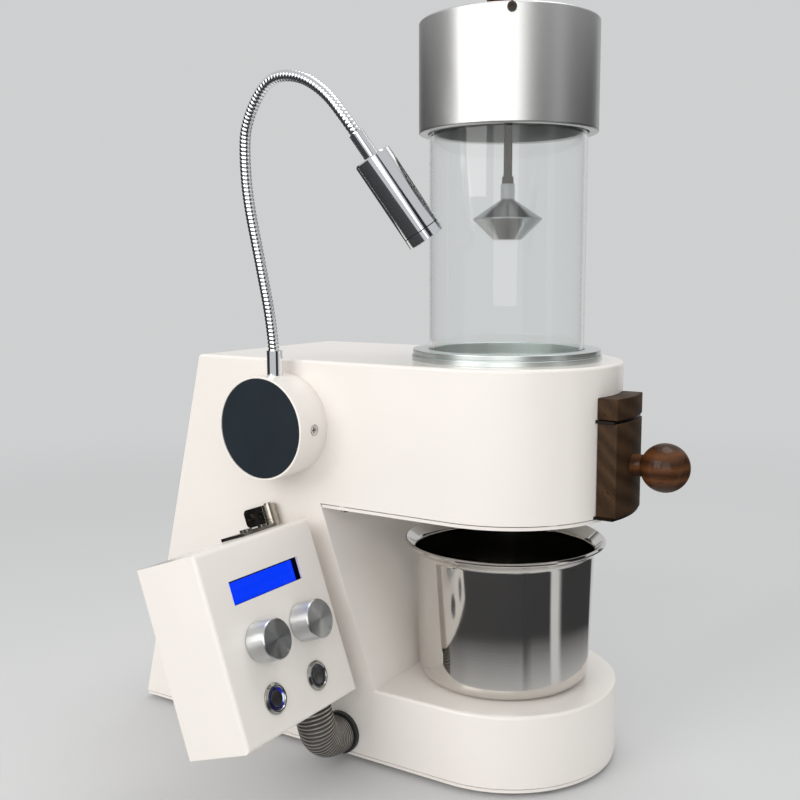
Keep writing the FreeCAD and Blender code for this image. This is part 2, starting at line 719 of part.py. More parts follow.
def make_casing():
    """One welded shell: arm, column and base, open under the arm and the base."""
    rear_inset = S.wall / cosine(S.rear_lean)
    front_inset = -(S.wall / cosine(S.front_lean))
    arm = nose_block(half_width, arm_low, body_top, 0)
    round_edges(arm, S.edge_round, lambda point: near(point.z, body_top))
    base = nose_block(half_width, casing_low, base_top, 0)
    round_edges(base, S.edge_round,
                lambda point: near(point.z, base_top) and point.x > float(rear_x(base_top)) + 0.1
                or near(point.z, base_top) and near(abs(point.y), half_width))
    column = column_block(S.body_width, casing_low, 0, 0)
    inner = half_width - S.wall
    cavity = fuse(nose_block(inner, arm_low, body_top - S.wall, rear_inset),
                  nose_block(inner, S.foot_height, base_top - S.wall, rear_inset),
                  column_block(inner * 2, S.foot_height, front_inset, rear_inset))
    shell = cut(fuse(arm, base, column), cavity)
    bosses = [rod(S.boss_radius, S.boss_height, (x, y, arm_plate_top)) for x, y in arm_bosses]
    bosses += [rod(S.boss_radius, S.boss_height, (x, y, plate_top)) for x, y in base_bosses]
    thread = S.screw_radius + S.hole_gap
    holes = [rod(thread, S.boss_height, (x, y, arm_plate_top)) for x, y in arm_bosses]
    holes += [rod(thread, S.boss_height, (x, y, plate_top)) for x, y in base_bosses]
    holes.append(rod(spigot_radius + S.glass_gap, S.wall * 3, (0, 0, body_top - S.wall * 2)))
    inside = half_width - S.wall * 3
    outside = half_width + S.wall
    for low, top in ((blade_high - S.wood_gap, blade_high_top), (arm_low - 1, blade_low_top)):
        holes.append(box((inside, -slot_half, low), (outside, slot_half, top + S.wood_gap)))
    holes.append(rod(S.gland_barrel + S.hole_gap, S.wall * 3,
                     (-S.conduit_wall_x, -half_width - S.wall, S.conduit_z), "Y"))
    opening = box((-1, -S.rear_open_width / 2, S.rear_open_low),
                  (S.wall * 2, S.rear_open_width / 2, S.rear_open_low + S.rear_open_height))
    holes.append(in_rear(group(opening)))
    for x, z in rear_screws():
        holes.append(in_rear(group(rod(thread, S.wall * 4, (-S.wall, x, z), "X"))))
    for x, z in body_leaf_screws():
        holes.append(in_box(group(rod(thread, S.wall * 4, (x, S.box_gap - S.wall, z), "Y"))))
    node("casing", cut(fuse(shell, *bosses), *holes))


def rear_screws():
    """Screw places of the rear cover in the rear frame, as (y, z)."""
    side = S.rear_open_width / 2 + S.rear_lap / 2
    low = S.rear_open_low - S.rear_lap / 2
    top = S.rear_open_low + S.rear_open_height + S.rear_lap / 2
    return [(-side, low), (side, low), (-side, top), (side, top)]


def body_leaf_screws():
    """Screw places of the hinge leaf on the wall, in the box's frame, as (x, z)."""
    middle = (leaf_low + S.hinge_top) / 2
    return [(-S.hinge_x - S.leaf_length * 0.42, middle), (-S.hinge_x - S.leaf_length * 0.81, middle)]


def make_closing_plates():
    """Flat plates under the arm and the base, each on the casing's bosses."""
    inset = half_width - S.plate_inset
    clear = S.screw_radius + S.hole_gap

    def plate(back, low):
        blank = box((back, -inset, low), (inset, inset, low + S.plate_thick))
        return common(blank, fuse(rod(inset, BIG, ORIGIN), box((-BIG, -inset, 0), (0, inset, BIG))))

    arm_under = arm_plate_low - S.plate_thick
    arm_holes = [rod(clear, S.plate_thick * 3, (x, y, arm_under)) for x, y in arm_bosses]
    outlet = rod(S.bean_bore + 1, S.plate_thick * 3, (0, 0, arm_under))
    arm_plate = plate(column_x(arm_plate_low) + S.wood_gap, arm_plate_low)
    node("arm_bottom_plate", cut(arm_plate, outlet, *arm_holes))
    base_holes = [rod(clear, S.plate_thick * 3, (x, y, 0)) for x, y in base_bosses]
    slots = int(S.intake_count)
    first = -(S.fan_x + S.intake_pitch * (slots - 1) / 2 + S.intake_width / 2)
    intake = []
    for step in range(slots):
        back = first + S.intake_pitch * step
        intake.append(box((back, -S.intake_half, 0), (back + S.intake_width, S.intake_half, plate_top + 1)))
    base_plate = plate(rear_x(plate_top) + S.plate_inset, S.foot_height)
    node("base_bottom_plate", cut(base_plate, *base_holes, *intake))

    bevel = dim(1)
    radius = S.foot_radius
    feet = []
    for x in (rear_x(plate_top) + radius * 3, radius * 4):
        for side in (-1, 1):
            foot = turned([(0, 0), (radius - bevel, 0), (radius, bevel), (radius, S.foot_height),
                           (0, S.foot_height)])
            feet.append(place(foot, (x, (half_width - radius * 3) * side, 0)))
    node("feet", group(*feet))


def make_rear():
    """Rear cover with its vents, the mains inlet in it, and the screws of all closing parts."""
    side = S.rear_open_width / 2 + S.rear_lap
    low = S.rear_open_low - S.rear_lap
    top = S.rear_open_low + S.rear_open_height + S.rear_lap
    fit = dim(0.1)

    def inlet_block(front, back, grow):
        """Block round the inlet's centre, from one depth to another, larger by a margin."""
        half_wide = S.inlet_width / 2 + grow
        half_tall = S.inlet_height / 2 + grow
        return box((front, S.inlet_y - half_wide, inlet_z - half_tall),
                   (back, S.inlet_y + half_wide, inlet_z + half_tall))

    inlet_z = S.rear_open_low + S.inlet_rise
    outer = -S.cover_thick
    holes = [inlet_block(outer * 2, S.cover_thick, fit)]
    for step in range(int(S.vent_count)):
        slot_low = top - S.vent_pitch * (2 + step)
        holes.append(box((outer * 2, -S.vent_width / 2, slot_low),
                         (S.cover_thick, S.vent_width / 2, slot_low + S.vent_height)))
    clear = S.screw_radius + S.hole_gap
    holes += [rod(clear, S.cover_thick * 3, (outer * 2, y, z), "X") for y, z in rear_screws()]
    node("rear_cover", in_rear(cut(box((outer, -side, low), (0, side, top)), *holes)))

    flange_front = outer - S.inlet_flange
    flange = inlet_block(flange_front, outer, S.inlet_flange_lap)
    shell = inlet_block(flange_front / 2, S.inlet_depth + outer, dim(0))
    well = inlet_block(flange_front * 2, S.inlet_depth + outer - S.inlet_wall, -S.inlet_wall)
    pins = []
    half_wide = S.pin_width / 2
    half_tall = S.pin_height / 2
    for side_step, rise in ((-1, -1), (0, 1), (1, -1)):
        pin_y = S.inlet_y + S.pin_pitch * side_step
        pin_z = inlet_z + S.pin_step * rise
        pins.append(box((S.pin_width / 2, pin_y - half_wide, pin_z - half_tall),
                        (S.inlet_depth + S.pin_tail, pin_y + half_wide, pin_z + half_tall)))
    node("power_inlet", in_rear(fuse(cut(fuse(flange, shell), well), *pins)))

    screws = [screw((x, y, arm_plate_low), "Z", S.boss_height) for x, y in arm_bosses]
    screws += [screw((x, y, S.foot_height), "Z", S.boss_height) for x, y in base_bosses]
    screws += [in_rear(screw((outer, y, z), "X", S.wall * 3)) for y, z in rear_screws()]
    node("casing_screws", group(*screws))


# ---------------------------------------------------------------- chamber

seat_top = body_top + S.seat_height
recess_floor = seat_top - S.recess_depth
glass_low = recess_floor + S.gasket_thick
glass_top = glass_low + S.glass_height
glass_bore = S.glass_radius - S.glass_wall
glass_recess = S.glass_radius + S.glass_gap
seat_radius = glass_recess + S.seat_flange
spigot_radius = S.glass_radius + S.spigot_wall
spigot_low = body_top - S.spigot_depth


def make_chamber():
    """Seat, seal and glass tube on the arm."""
    groove_low = body_top + S.seat_groove_height
    groove_top = groove_low + S.seat_groove_width
    upper = seat_radius - S.seat_step
    groove_depth = 0.8
    seat = turned([(glass_bore, spigot_low), (spigot_radius, spigot_low), (spigot_radius, body_top),
                   (seat_radius, body_top), (seat_radius, groove_low),
                   (upper - groove_depth, groove_low), (upper - groove_depth, groove_top),
                   (upper, groove_top), (upper, seat_top), (glass_recess, seat_top),
                   (glass_recess, recess_floor), (glass_bore, recess_floor)])
    bevel_edges(seat, dim(0.5), lambda point: near(point.z, seat_top))
    node("glass_seat_ring", seat)
    node("glass_gasket", turned([(glass_bore + 0.2, recess_floor), (S.glass_radius + 0.2, recess_floor),
                                 (S.glass_radius + 0.2, glass_low), (glass_bore + 0.2, glass_low)]))
    glass = turned([(glass_bore, glass_low), (S.glass_radius, glass_low), (S.glass_radius, glass_top),
                    (glass_bore, glass_top)])
    round_edges(glass, S.glass_wall / 4, lambda point: near(point.z, glass_top))
    node("glass_tube", glass)


cap_low = glass_top - S.cap_lap
cap_top = cap_low + S.cap_height
screen_top = cap_top - 0.5
screen_low = screen_top - S.screen_thick
cap_bore = S.glass_radius + S.cap_gap
cap_radius = cap_bore + S.cap_skirt
screen_radius = cap_radius - S.cap_wall
rod_reach = dim(6.5)


def make_cap():
    """Cap shell on the glass, its screen disc, three radial screws and the wooden knob."""
    ledge = glass_bore - 0.5
    chamfer = dim(0.8)
    shell = turned([(cap_bore, cap_low), (cap_radius, cap_low), (cap_radius, cap_top),
                    (screen_radius, cap_top), (screen_radius, screen_low), (screen_radius - 2, screen_low),
                    (screen_radius - 2, glass_top + S.cap_ledge), (ledge, glass_top + S.cap_ledge),
                    (ledge, glass_top), (cap_bore, glass_top)])
    bevel_edges(shell, chamfer, lambda point: near(math.hypot(point.x, point.y), cap_radius))
    turns = [Dim(120 * step, f"({120 * step})") + S.cap_screw_turn for step in range(3)]
    middle = (screen_low + screen_top) / 2
    shell_holes = []
    screen_holes = []
    screws = []
    for turn in turns:
        for holes, radius, start in ((shell_holes, S.screw_radius + S.hole_gap, screen_radius - 6),
                                     (screen_holes, S.screw_radius + S.hole_gap, screen_radius - 11)):
            hole = group(rod(radius, BIG, (start, 0, middle), "X"))
            holes.append(in_frame(hole, ORIGIN, Vector(0, 0, 1), turn))
        part = screw((cap_radius, 0, middle), "-X", S.cap_wall + 8)
        screws.append(in_frame(part, ORIGIN, Vector(0, 0, 1), turn))
    node("cap_shell", cut(shell, *shell_holes))
    for ring, count in ((15, 8), (26, 14), (37, 20)):
        for step in range(count):
            turn = 2 * math.pi * (step + 0.5) / count
            screen_holes.append(rod(S.screen_hole, S.screen_thick * 2,
                                    (ring * math.cos(turn), ring * math.sin(turn), screen_low - 1)))
    disc = rod(screen_radius - 0.1, S.screen_thick, (0, 0, screen_low))
    rod_hole = rod(S.rod_radius + S.shaft_gap, S.screen_thick * 2, (0, 0, screen_low - 1))
    node("cap_screen", cut(disc, rod_hole, *screen_holes))
    node("cap_screws", group(*screws))
    ball_z = screen_top + S.top_ball_rise
    neck = rod(S.knob_neck_radius, S.top_ball_rise, (0, 0, screen_top))
    socket = rod(S.rod_radius + S.shaft_gap, rod_reach + 1, (0, 0, screen_top - 0.5))
    node("cap_top_knob", cut(fuse(ball(S.knob_ball_radius, (0, 0, ball_z)), neck), socket))


cone_foot = glass_low + S.cone_low
cone_wide = cone_foot + S.cone_fall
cone_shoulder = cone_wide + S.cone_rise
boss_top = cone_shoulder + S.cone_boss_height


def make_deflector():
    """Double cone on a rod that hangs from the cap's screen."""
    rim = dim(0.8)
    bore = S.rod_radius + S.shaft_gap
    bore_low = cone_wide - 2
    node("deflector_cone", turned([
        (0, cone_foot), (S.cone_foot_radius, cone_foot), (S.cone_radius, cone_wide - rim),
        (S.cone_radius, cone_wide), (S.cone_boss_radius, cone_shoulder), (S.cone_boss_radius, boss_top),
        (bore, boss_top), (bore, bore_low), (0, bore_low)]))
    collar_top = boss_top + S.collar_height
    joint = collar_top + 10
    waist = S.rod_radius - 0.3
    rod_top = screen_top + rod_reach
    node("deflector_rod", turned([
        (0, bore_low), (S.rod_radius, bore_low), (S.rod_radius, boss_top), (S.collar_radius, boss_top),
        (S.collar_radius, collar_top), (S.rod_radius, collar_top), (S.rod_radius, joint), (waist, joint),
        (waist, joint + 0.5), (S.rod_radius, joint + 0.5), (S.rod_radius, rod_top), (0, rod_top)]))


# ---------------------------------------------------------------- bean path and gate

def make_bean_path():
    """Funnel under the chamber and the tube between the two blades, with the blades' rails."""
    half = S.flange_half
    cone_low = funnel_low + S.flange_thick
    outside = S.bean_bore + S.funnel_wall * 1.3
    lip_low = spigot_low - S.funnel_wall
    cone = turned([(S.bean_bore, funnel_low), (outside, funnel_low), (outside, cone_low),
                   (glass_bore + S.funnel_wall, lip_low), (spigot_radius, lip_low),
                   (spigot_radius, spigot_low), (glass_bore, spigot_low), (S.bean_bore, cone_low)])
    plate = cut(box((-half, -half, funnel_low), (half, half, cone_low)), rod(S.bean_bore + 0.5, BIG, ORIGIN))
    probe_z = funnel_low + S.probe_rise
    probe_hole = rod(S.probe_radius + 0.3, BIG, (0, -BIG, probe_z), "Y")
    node("bean_funnel", cut(fuse(cone, plate), probe_hole))

    tube_radius = S.bean_bore + S.tube_wall
    tube = rod(tube_radius, chamber_top - chamber_low, (0, 0, chamber_low))
    spigot = rod(S.air_port + S.thin_wall, heater_front + 4, (0, 0, air_axis), "-X")
    parts = [tube, spigot]
    for low in (chamber_low, chamber_top - S.flange_thick):
        parts.append(box((-half, -half, low), (half, half, low + S.flange_thick)))
    rail = S.blade_half + S.blade_side_gap
    for low, top in ((arm_plate_top, chamber_low), (chamber_top, funnel_low)):
        parts.append(box((-half, rail, low), (half, half, top)))
        parts.append(box((-half, -half, low), (half, -rail, top)))
    bore = rod(S.bean_bore, BIG, ORIGIN)
    port = rod(S.air_port, heater_front + 6, (0, 0, air_axis), "-X")
    node("air_chamber", cut(fuse(*parts), bore, port))
    probe = rod(S.probe_radius, S.probe_length, (0, -(S.probe_tip + S.probe_length), probe_z), "Y")
    fitting = rod(S.probe_radius * 2, half, (0, -(half + S.probe_tip), probe_z), "Y")
    cone_solid = turned([(0, cone_low), (outside, cone_low), (glass_bore + S.funnel_wall, lip_low),
                         (0, lip_low)])
    node("thermocouple", fuse(probe, cut(fitting, cone_solid)))


def make_nose():
    """Wooden nose: fixed upper part, and the gate with two blades, its wood and its ball knob."""
    def curved(low, top, half, outer, inner):
        block = common(box((0, -half, low), (BIG, half, top)), rod(outer, BIG, ORIGIN))
        return cut(block, rod(inner, BIG, ORIGIN))

    top_block = curved(wood_top_low, wood_top_low + S.wood_top_height, S.wood_half, wood_radius, half_width)
    node("upper_wood_block", top_block)
    node("gate_wood_block", curved(blade_low_top, blade_high, S.wood_half, wood_radius, nose_radius))
    blades = []
    for low in (blade_low, blade_high):
        plate = box((-S.blade_tail, -S.blade_half, low), (BIG, S.blade_half, low + S.blade_thick))
        blades.append(common(plate, rod(blade_radius, BIG, ORIGIN)))
    holes = []
    for ring, count in ((5, 6), (10, 12), (15, 18)):
        for step in range(count):
            turn = 2 * math.pi * step / count
            at = (ring * math.cos(turn), ring * math.sin(turn), blade_high - S.blade_thick)
            holes.append(rod(S.blade_hole, S.blade_thick * 3, at))
    node("discharge_gate", group(blades[0], cut(blades[1], *holes)))
    ball_x = wood_radius + S.gate_ball_x
    ball_z = arm_low + S.gate_ball_z
    neck = cut(rod(S.knob_neck_radius, ball_x - nose_radius, (nose_radius, 0, ball_z), "X"),
               rod(wood_radius, BIG, ORIGIN))
    node("ball_knob", fuse(ball(S.knob_ball_radius, (ball_x, 0, ball_z)), neck))


# ---------------------------------------------------------------- hot air

def make_heater():
    """Heater housing on the bean passage's port, and its mica former wound with wire."""
    inner = S.heater_radius - S.thin_wall
    end = dim(2)
    front = -heater_front

    def bore(radius, start, length):
        return rod(radius, length, (start, 0, air_axis), "-X")

    node("heater_housing", cut(bore(S.heater_radius, front, S.heater_length),
                               bore(inner, front - end, S.heater_length - end * 2),
                               bore(S.air_port + S.thin_wall + S.hole_gap, front + end, end * 3),
                               bore(S.duct_radius + S.hole_gap, -heater_back + end * 1.5, end * 3)))
    former_back = -(heater_back - end - S.thin_wall)
    former_front = front - end * 3
    tall = S.former_half
    wide = inner - S.duct_gap
    sheet_half = S.board_thick / 2
    level = box((former_back, -wide, air_axis - sheet_half), (former_front, wide, air_axis + sheet_half))
    upright = box((former_back, -sheet_half, air_axis - tall), (former_front, sheet_half, air_axis + tall))
    turns = int(S.coil_turns)
    pitch = (former_front - former_back) / turns
    rings = [torus(tall, S.coil_wire, (former_back + pitch * (step + 0.5), 0, air_axis), "X")
             for step in range(turns)]
    node("heater_coil", fuse(level, upright, *rings))


def make_air_duct():
    """Elbow from the blower's outlet up to the heater."""
    heater_end = -float(heater_back)
    points = [Vector(-float(duct_x), 0, float(fan_outlet_top)),
              Vector(-float(duct_x), 0, float(air_axis)),
              Vector(heater_end + float(S.thin_wall), 0, float(air_axis))]
    path = run_wire(points, [float(S.duct_bend)])
    outside = swept(path, float(S.duct_radius))
    node("air_duct", feature(outside.cut(swept(path, float(S.duct_radius - S.thin_wall)))))


def make_blower():
    """Blower drum with its outlet and legs, the bladed wheel on its shaft, and the motor."""
    x = -S.fan_x
    z = fan_z
    half = S.fan_half
    skin = S.thin_wall

    def drum(radius, start, length):
        return rod(radius, length, (x, start, z), "Y")

    back = -(duct_x + S.duct_radius + S.duct_gap * 10)
    front = -(duct_x - S.duct_radius - S.duct_gap * 10)
    legs = [box((x - S.fan_leg_half, y, plate_top), (x + S.fan_leg_half, y + skin, z))
            for y in (-half, half - skin)]
    neck = box((back, -half, z), (front, half, fan_outlet_top))
    outer = fuse(drum(S.fan_radius, -half, half * 2), neck, *legs)
    hollow = fuse(drum(S.fan_radius - skin, -half + skin, (half - skin) * 2),
                  box((back + skin, -half + skin, z), (front - skin, half - skin, fan_outlet_top - skin)))
    outlet = rod(S.duct_radius - skin, skin * 4, (-duct_x, 0, fan_outlet_top - skin * 2))
    inlet = drum(S.fan_inlet, -half * 2, half * 2)
    shaft_hole = drum(S.shaft_radius + 1, 0, half * 2)
    node("blower_housing", cut(outer, hollow, outlet, inlet, shaft_hole))

    wheel_half = half - skin - S.wheel_side_gap
    wheel_radius = S.fan_radius - skin - S.wheel_gap
    disc_thick = dim(2)
    blade_root = wheel_radius - S.wheel_blade
    bearing = dim(12)
    disc = drum(wheel_radius, wheel_half - disc_thick, disc_thick)
    ring = cut(drum(wheel_radius, -wheel_half, disc_thick),
               drum(blade_root, -wheel_half - 1, disc_thick * 2))
    shaft = drum(S.shaft_radius, -wheel_half / 2, half + bearing + wheel_half / 2)
    hub = drum(S.shaft_radius * 2.5, 0, wheel_half)
    count = int(S.wheel_blades)
    blades = []
    for step in range(count):
        blade = group(box((blade_root + 1, -wheel_half, -0.6), (wheel_radius - 0.5, wheel_half, 0.6)))
        blades.append(place(blade, (x, 0, z), Rotation(Vector(0, 1, 0), 360 / count * step)))
    node("blower_wheel", fuse(disc, ring, shaft, hub, *blades))
    motor = fuse(drum(S.motor_radius, half, S.motor_length),
                 drum(S.motor_radius / 3, half + S.motor_length, 4))
    node("blower_motor", cut(motor, drum(S.shaft_radius + S.shaft_gap, half, bearing + 2)))


def make_power_board():
    """Mains board in the base on four standoffs, with heat sink, relay, terminals and capacitor."""
    back = -S.board_back
    front = back + S.board_length
    side = S.board_width / 2
    low = plate_top + S.board_rise
    top = low + S.board_thick
    inset = S.post_inset
    posts = [rod(S.post_radius, S.board_rise, (x, y, plate_top)) for x in (back + inset, front - inset)
             for y in (-side + inset, side - inset)]
    sink_back = back + S.board_margin * 3
    sink_front = sink_back + S.sink_length
    sink_side = side - inset
    sink_low = sink_side - S.sink_width
    foot_top = top + S.sink_base
    sink = [box((sink_back, sink_low, top), (sink_front, sink_side, foot_top))]
    fins = 5
    fin_pitch = (S.sink_width - S.fin_thick) / (fins - 1)
    for step in range(fins):
        fin = sink_low + fin_pitch * step
        sink.append(box((sink_back, fin, foot_top), (sink_front, fin + S.fin_thick, top + S.sink_height)))
    relay_back = sink_front + S.board_margin * 2
    relay = box((relay_back, sink_side - S.relay_width, top),
                (relay_back + S.relay_length, sink_side, top + S.relay_height))
    terminal_low = -side + S.board_margin
    terminals = box((sink_back, terminal_low, top),
                    (sink_back + S.terminal_length, terminal_low + S.terminal_side, top + S.terminal_side))
    capacitor = rod(S.capacitor_radius, S.capacitor_height, (front - S.board_margin * 4, -side / 2, top))
    board = box((back, -side, low), (front, side, top))
    node("power_board", fuse(board, relay, terminals, capacitor, *posts, *sink))


def make_cup():
    """Drawn steel cup with a rounded foot and a flared, rolled lip."""
    low = base_top
    top = arm_plate_low - S.cup_room
    skin = S.cup_wall
    flare = top - S.cup_flare
    lip_low = top - S.cup_lip_height
    foot = S.cup_low_radius
    neck = foot + S.cup_taper
    lip = neck + S.cup_lip
    edge = S.cup_lip_height / 3
    cup = turned([(0, low), (foot, low), (neck, flare), (lip - edge, lip_low), (lip, lip_low + edge),
                  (lip, top - edge), (lip - edge, top), (lip - edge * 2, top), (neck - skin, flare),
                  (foot - skin, low + skin), (0, low + skin)])
    round_edges(cup, S.cup_round, on_circle(foot, low))
    round_edges(cup, S.cup_round - skin, on_circle(foot - skin, low + skin))
    round_edges(cup, S.cup_flare_round, on_circle(neck, flare))
    round_edges(cup, S.cup_flare_round + skin, on_circle(neck - skin, flare))
    node("cup", cup)


# ---------------------------------------------------------------- lamp

ferrule = (S.ferrule_ahead - S.lamp_x, -(half_width + S.ferrule_out), S.lamp_z + S.ferrule_rise)
# gooseneck route from the ferrule's top: up the side, over and down to the lamp head
LOWER_NECK = [(0, 0, 0), (-0.8, -0.1, 12.5), (-9.1, -1.5, 56.5), (-16, -4, 95.5), (-16.6, -5.5, 122.5),
              (-15.4, -6, 132.5)]
UPPER_NECK = [(-15.4, -6, 132.5), (-14.2, -6.5, 142.5), (4.6, -8.5, 167.5), (30.6, -11, 167.1),
              (52.2, -12.5, 155), (67.2, -11.3, 136.9), (70.8, -8.5, 130.3)]
head_axis = Vector(-math.sin(math.radians(float(S.head_turn))), math.cos(math.radians(float(S.head_turn))), 0)


def neck_points(route):
    start = Vector(*[float(value) for value in ferrule])
    return [start + Vector(*point) for point in route]


def make_lamp_base():
    """Round lamp base on the side wall with its cover, set screw and the neck's ferrule."""
    ledge = S.lamp_depth - S.lamp_cover_sink - S.lamp_cover_thick
    seat = S.lamp_radius - S.lamp_rim
    inner = seat - 1.7
    housing = turned([(0, 0), (S.lamp_radius, 0), (S.lamp_radius, S.lamp_depth), (seat, S.lamp_depth),
                      (seat, ledge), (inner, ledge), (inner, 2), (0, 2)])
    round_edges(housing, S.lamp_rim / 3, on_circle(S.lamp_radius, S.lamp_depth))
    lamp_at = (-S.lamp_x, -half_width, S.lamp_z)
    place(housing, lamp_at, TURNS["-Y"])
    mid_y = -half_width - S.lamp_depth / 2
    screw_hole = rod(2.6, BIG, (-S.lamp_x, mid_y, S.lamp_z), "X")
    wire_hole = rod(S.neck_radius + S.neck_gap, BIG, (ferrule[0], ferrule[1], S.lamp_z))
    node("lamp_base_housing", cut(housing, screw_hole, wire_hole))
    cover = turned([(0, ledge), (seat - 0.3, ledge), (seat - 0.3, ledge + S.lamp_cover_thick),
                    (0, ledge + S.lamp_cover_thick)])
    node("lamp_base_cover", place(cover, lamp_at, TURNS["-Y"]))
    screw_end = S.lamp_radius - 0.4
    pin = rod(2.5, 6, (screw_end - S.lamp_x - 6, mid_y, S.lamp_z), "X")
    socket = rod(1.25, 2, (screw_end - S.lamp_x - 2, mid_y, S.lamp_z), "X")
    node("lamp_set_screw", cut(pin, socket))
    tube = rod(S.ferrule_radius, S.ferrule_length, (ferrule[0], ferrule[1], ferrule[2] - S.ferrule_length))
    saddle = rod(S.lamp_radius, BIG, (-S.lamp_x, -BIG / 2, S.lamp_z), "Y")
    bore = rod(S.neck_radius + S.neck_gap, BIG, (ferrule[0], ferrule[1], 0))
    node("lamp_ferrule", cut(tube, saddle, bore))


def make_neck():
    """Gooseneck in two lengths; each turns on a ball of its own width where it is bent."""
    radius = float(S.neck_radius)
    clear = radius + float(S.neck_gap)
    for label, route in (("gooseneck_lower", LOWER_NECK), ("gooseneck_upper", UPPER_NECK)):
        points = neck_points(route)
        radii = easy_radii(points)
        print(label, "radii", [round(value, 1) for value in radii])
        shape = swept(run_wire(points, radii), radius)
        shape = shape.fuse(Part.makeSphere(radius, points[0]))
        if label == "gooseneck_lower":
            shape = shape.cut(Part.makeSphere(clear, points[-1]))
        else:
            shape = shape.fuse(Part.makeSphere(radius, points[-1]))
        node(label, feature(shape.removeSplitter()))


def make_lamp_head():
    """Sleeve, head tube, bezel and lens on one axis from the neck's end."""
    pivot = neck_points(UPPER_NECK)[-1]
    offsets = UPPER_NECK[-1]
    at = [start + value for start, value in zip(ferrule, offsets)]
    assert (Vector(*[float(value) for value in at]) - pivot).Length < 1e-6
    front = S.sleeve_length + S.head_length
    split = front - S.bezel_length
    bore = S.head_radius - S.head_wall
    lens_top = front - S.lens_sink - S.lens_thick
    lens_radius = bore - 0.1
    sleeve_bore = S.neck_radius + S.sleeve_gap
    sleeve_radius = sleeve_bore + S.sleeve_wall
    sleeve = turned([(sleeve_bore, 0), (sleeve_radius, 0), (sleeve_radius, S.sleeve_length),
                     (0, S.sleeve_length), (0, 6), (sleeve_bore, 6)])
    head = turned([(0, S.sleeve_length), (S.head_radius, S.sleeve_length), (S.head_radius, split),
                   (bore, split), (bore, S.sleeve_length + 6), (0, S.sleeve_length + 6)])
    bevel_edges(head, dim(0.8), on_circle(S.head_radius, S.sleeve_length))
    bezel = turned([(bore - 1.2, split), (S.head_radius - 0.3, split), (S.head_radius - 0.3, split + 0.5),
                    (S.head_radius, split + 0.5), (S.head_radius, front), (bore, front), (bore, lens_top),
                    (bore - 1.2, lens_top)])
    bevel_edges(bezel, dim(0.4), on_circle(S.head_radius, front))
    lens = turned([(0, lens_top), (lens_radius, lens_top), (lens_radius, front - S.lens_sink),
                   (0, front - S.lens_sink + 0.6)])
    for label, item in (("lamp_neck_sleeve", sleeve), ("lamp_head", head), ("lamp_bezel", bezel),
                        ("lamp_lens", lens)):
        node(label, in_frame(item, at, head_axis, S.head_dip))


# ---------------------------------------------------------------- control box

button_z = -S.box_height + S.button_z
knob_z = (button_z - S.screen_centre_z) / 2 + S.knob_z
knob_ys = {"right": -S.right_knob_y, "left": -(S.right_knob_y + S.knob_pitch)}
button_ys = {"right": -S.right_button_y, "left": -(S.right_button_y + S.button_pitch)}
window_low = (-S.screen_centre_y - S.screen_width / 2, -S.screen_centre_z - S.screen_height / 2)
window_top = (-S.screen_centre_y + S.screen_width / 2, -S.screen_centre_z + S.screen_height / 2)


def box_leaf_screws():
    """Screw places of the hinge leaf on the box's top, in the box's frame, as (x, y)."""
    step = S.box_leaf_half / 2
    return [(-S.hinge_x + step, -8), (-S.hinge_x + step, -22), (-S.hinge_x - step, -15)]


def make_box_shell():
    """Sheet-metal box, open at its back, and the inset back plate."""
    body = doc.addObject("PartDesign::Body", "BoxShell")
    drawn = new_sketch(body, "XZ_Plane")
    outline(drawn, [(-S.box_depth, -S.box_height), (0, -S.box_height), (0, 0), (-S.box_depth, 0)])
    pad = body.newObject("PartDesign::Pad", "Pad")
    pad.Profile = drawn
    bind(pad, "Length", S.box_width)
    body.Tip = pad
    doc.recompute()
    # the sketch plane's normal is -Y, so the pad runs from y = 0 to -box_width
    round_edges(body, S.box_round, lambda point: not near(point.x, -S.box_depth))
    wall = S.box_wall
    inside = box((-S.box_depth - 1, -S.box_width + wall, -S.box_height + wall), (-wall, -wall, -wall))
    tools = [inside, box((-wall - 1, window_low[0], window_low[1]), (1, window_top[0], window_top[1]))]
    tools += [rod(S.shaft_radius + 0.9, 10, (-5, y, knob_z), "X") for y in knob_ys.values()]
    tools += [rod(S.barrel_radius + 0.1, 10, (-5, y, button_z), "X") for y in button_ys.values()]
    tools.append(rod(S.gland_barrel + S.hole_gap, 10, (-S.conduit_x, -S.conduit_y, -S.box_height - 5)))
    tools += [rod(S.screw_radius + S.hole_gap, 10, (x, y, -5)) for x, y in box_leaf_screws()]
    node("control_box_shell", in_box(cut(body, *tools)))
    gap = dim(0.2)
    plate = box((-S.box_depth + 1, -S.box_width + wall + gap, -S.box_height + wall + gap),
                (-S.box_depth + 1 + wall, -wall - gap, -wall - gap))
    slots = [box((-S.box_depth, -S.box_width / 2 - 20, -40 - 6 * step),
                 (-S.box_depth + 4, -S.box_width / 2 + 20, -37.5 - 6 * step)) for step in range(5)]
    node("control_box_back", in_box(cut(plate, *slots)))


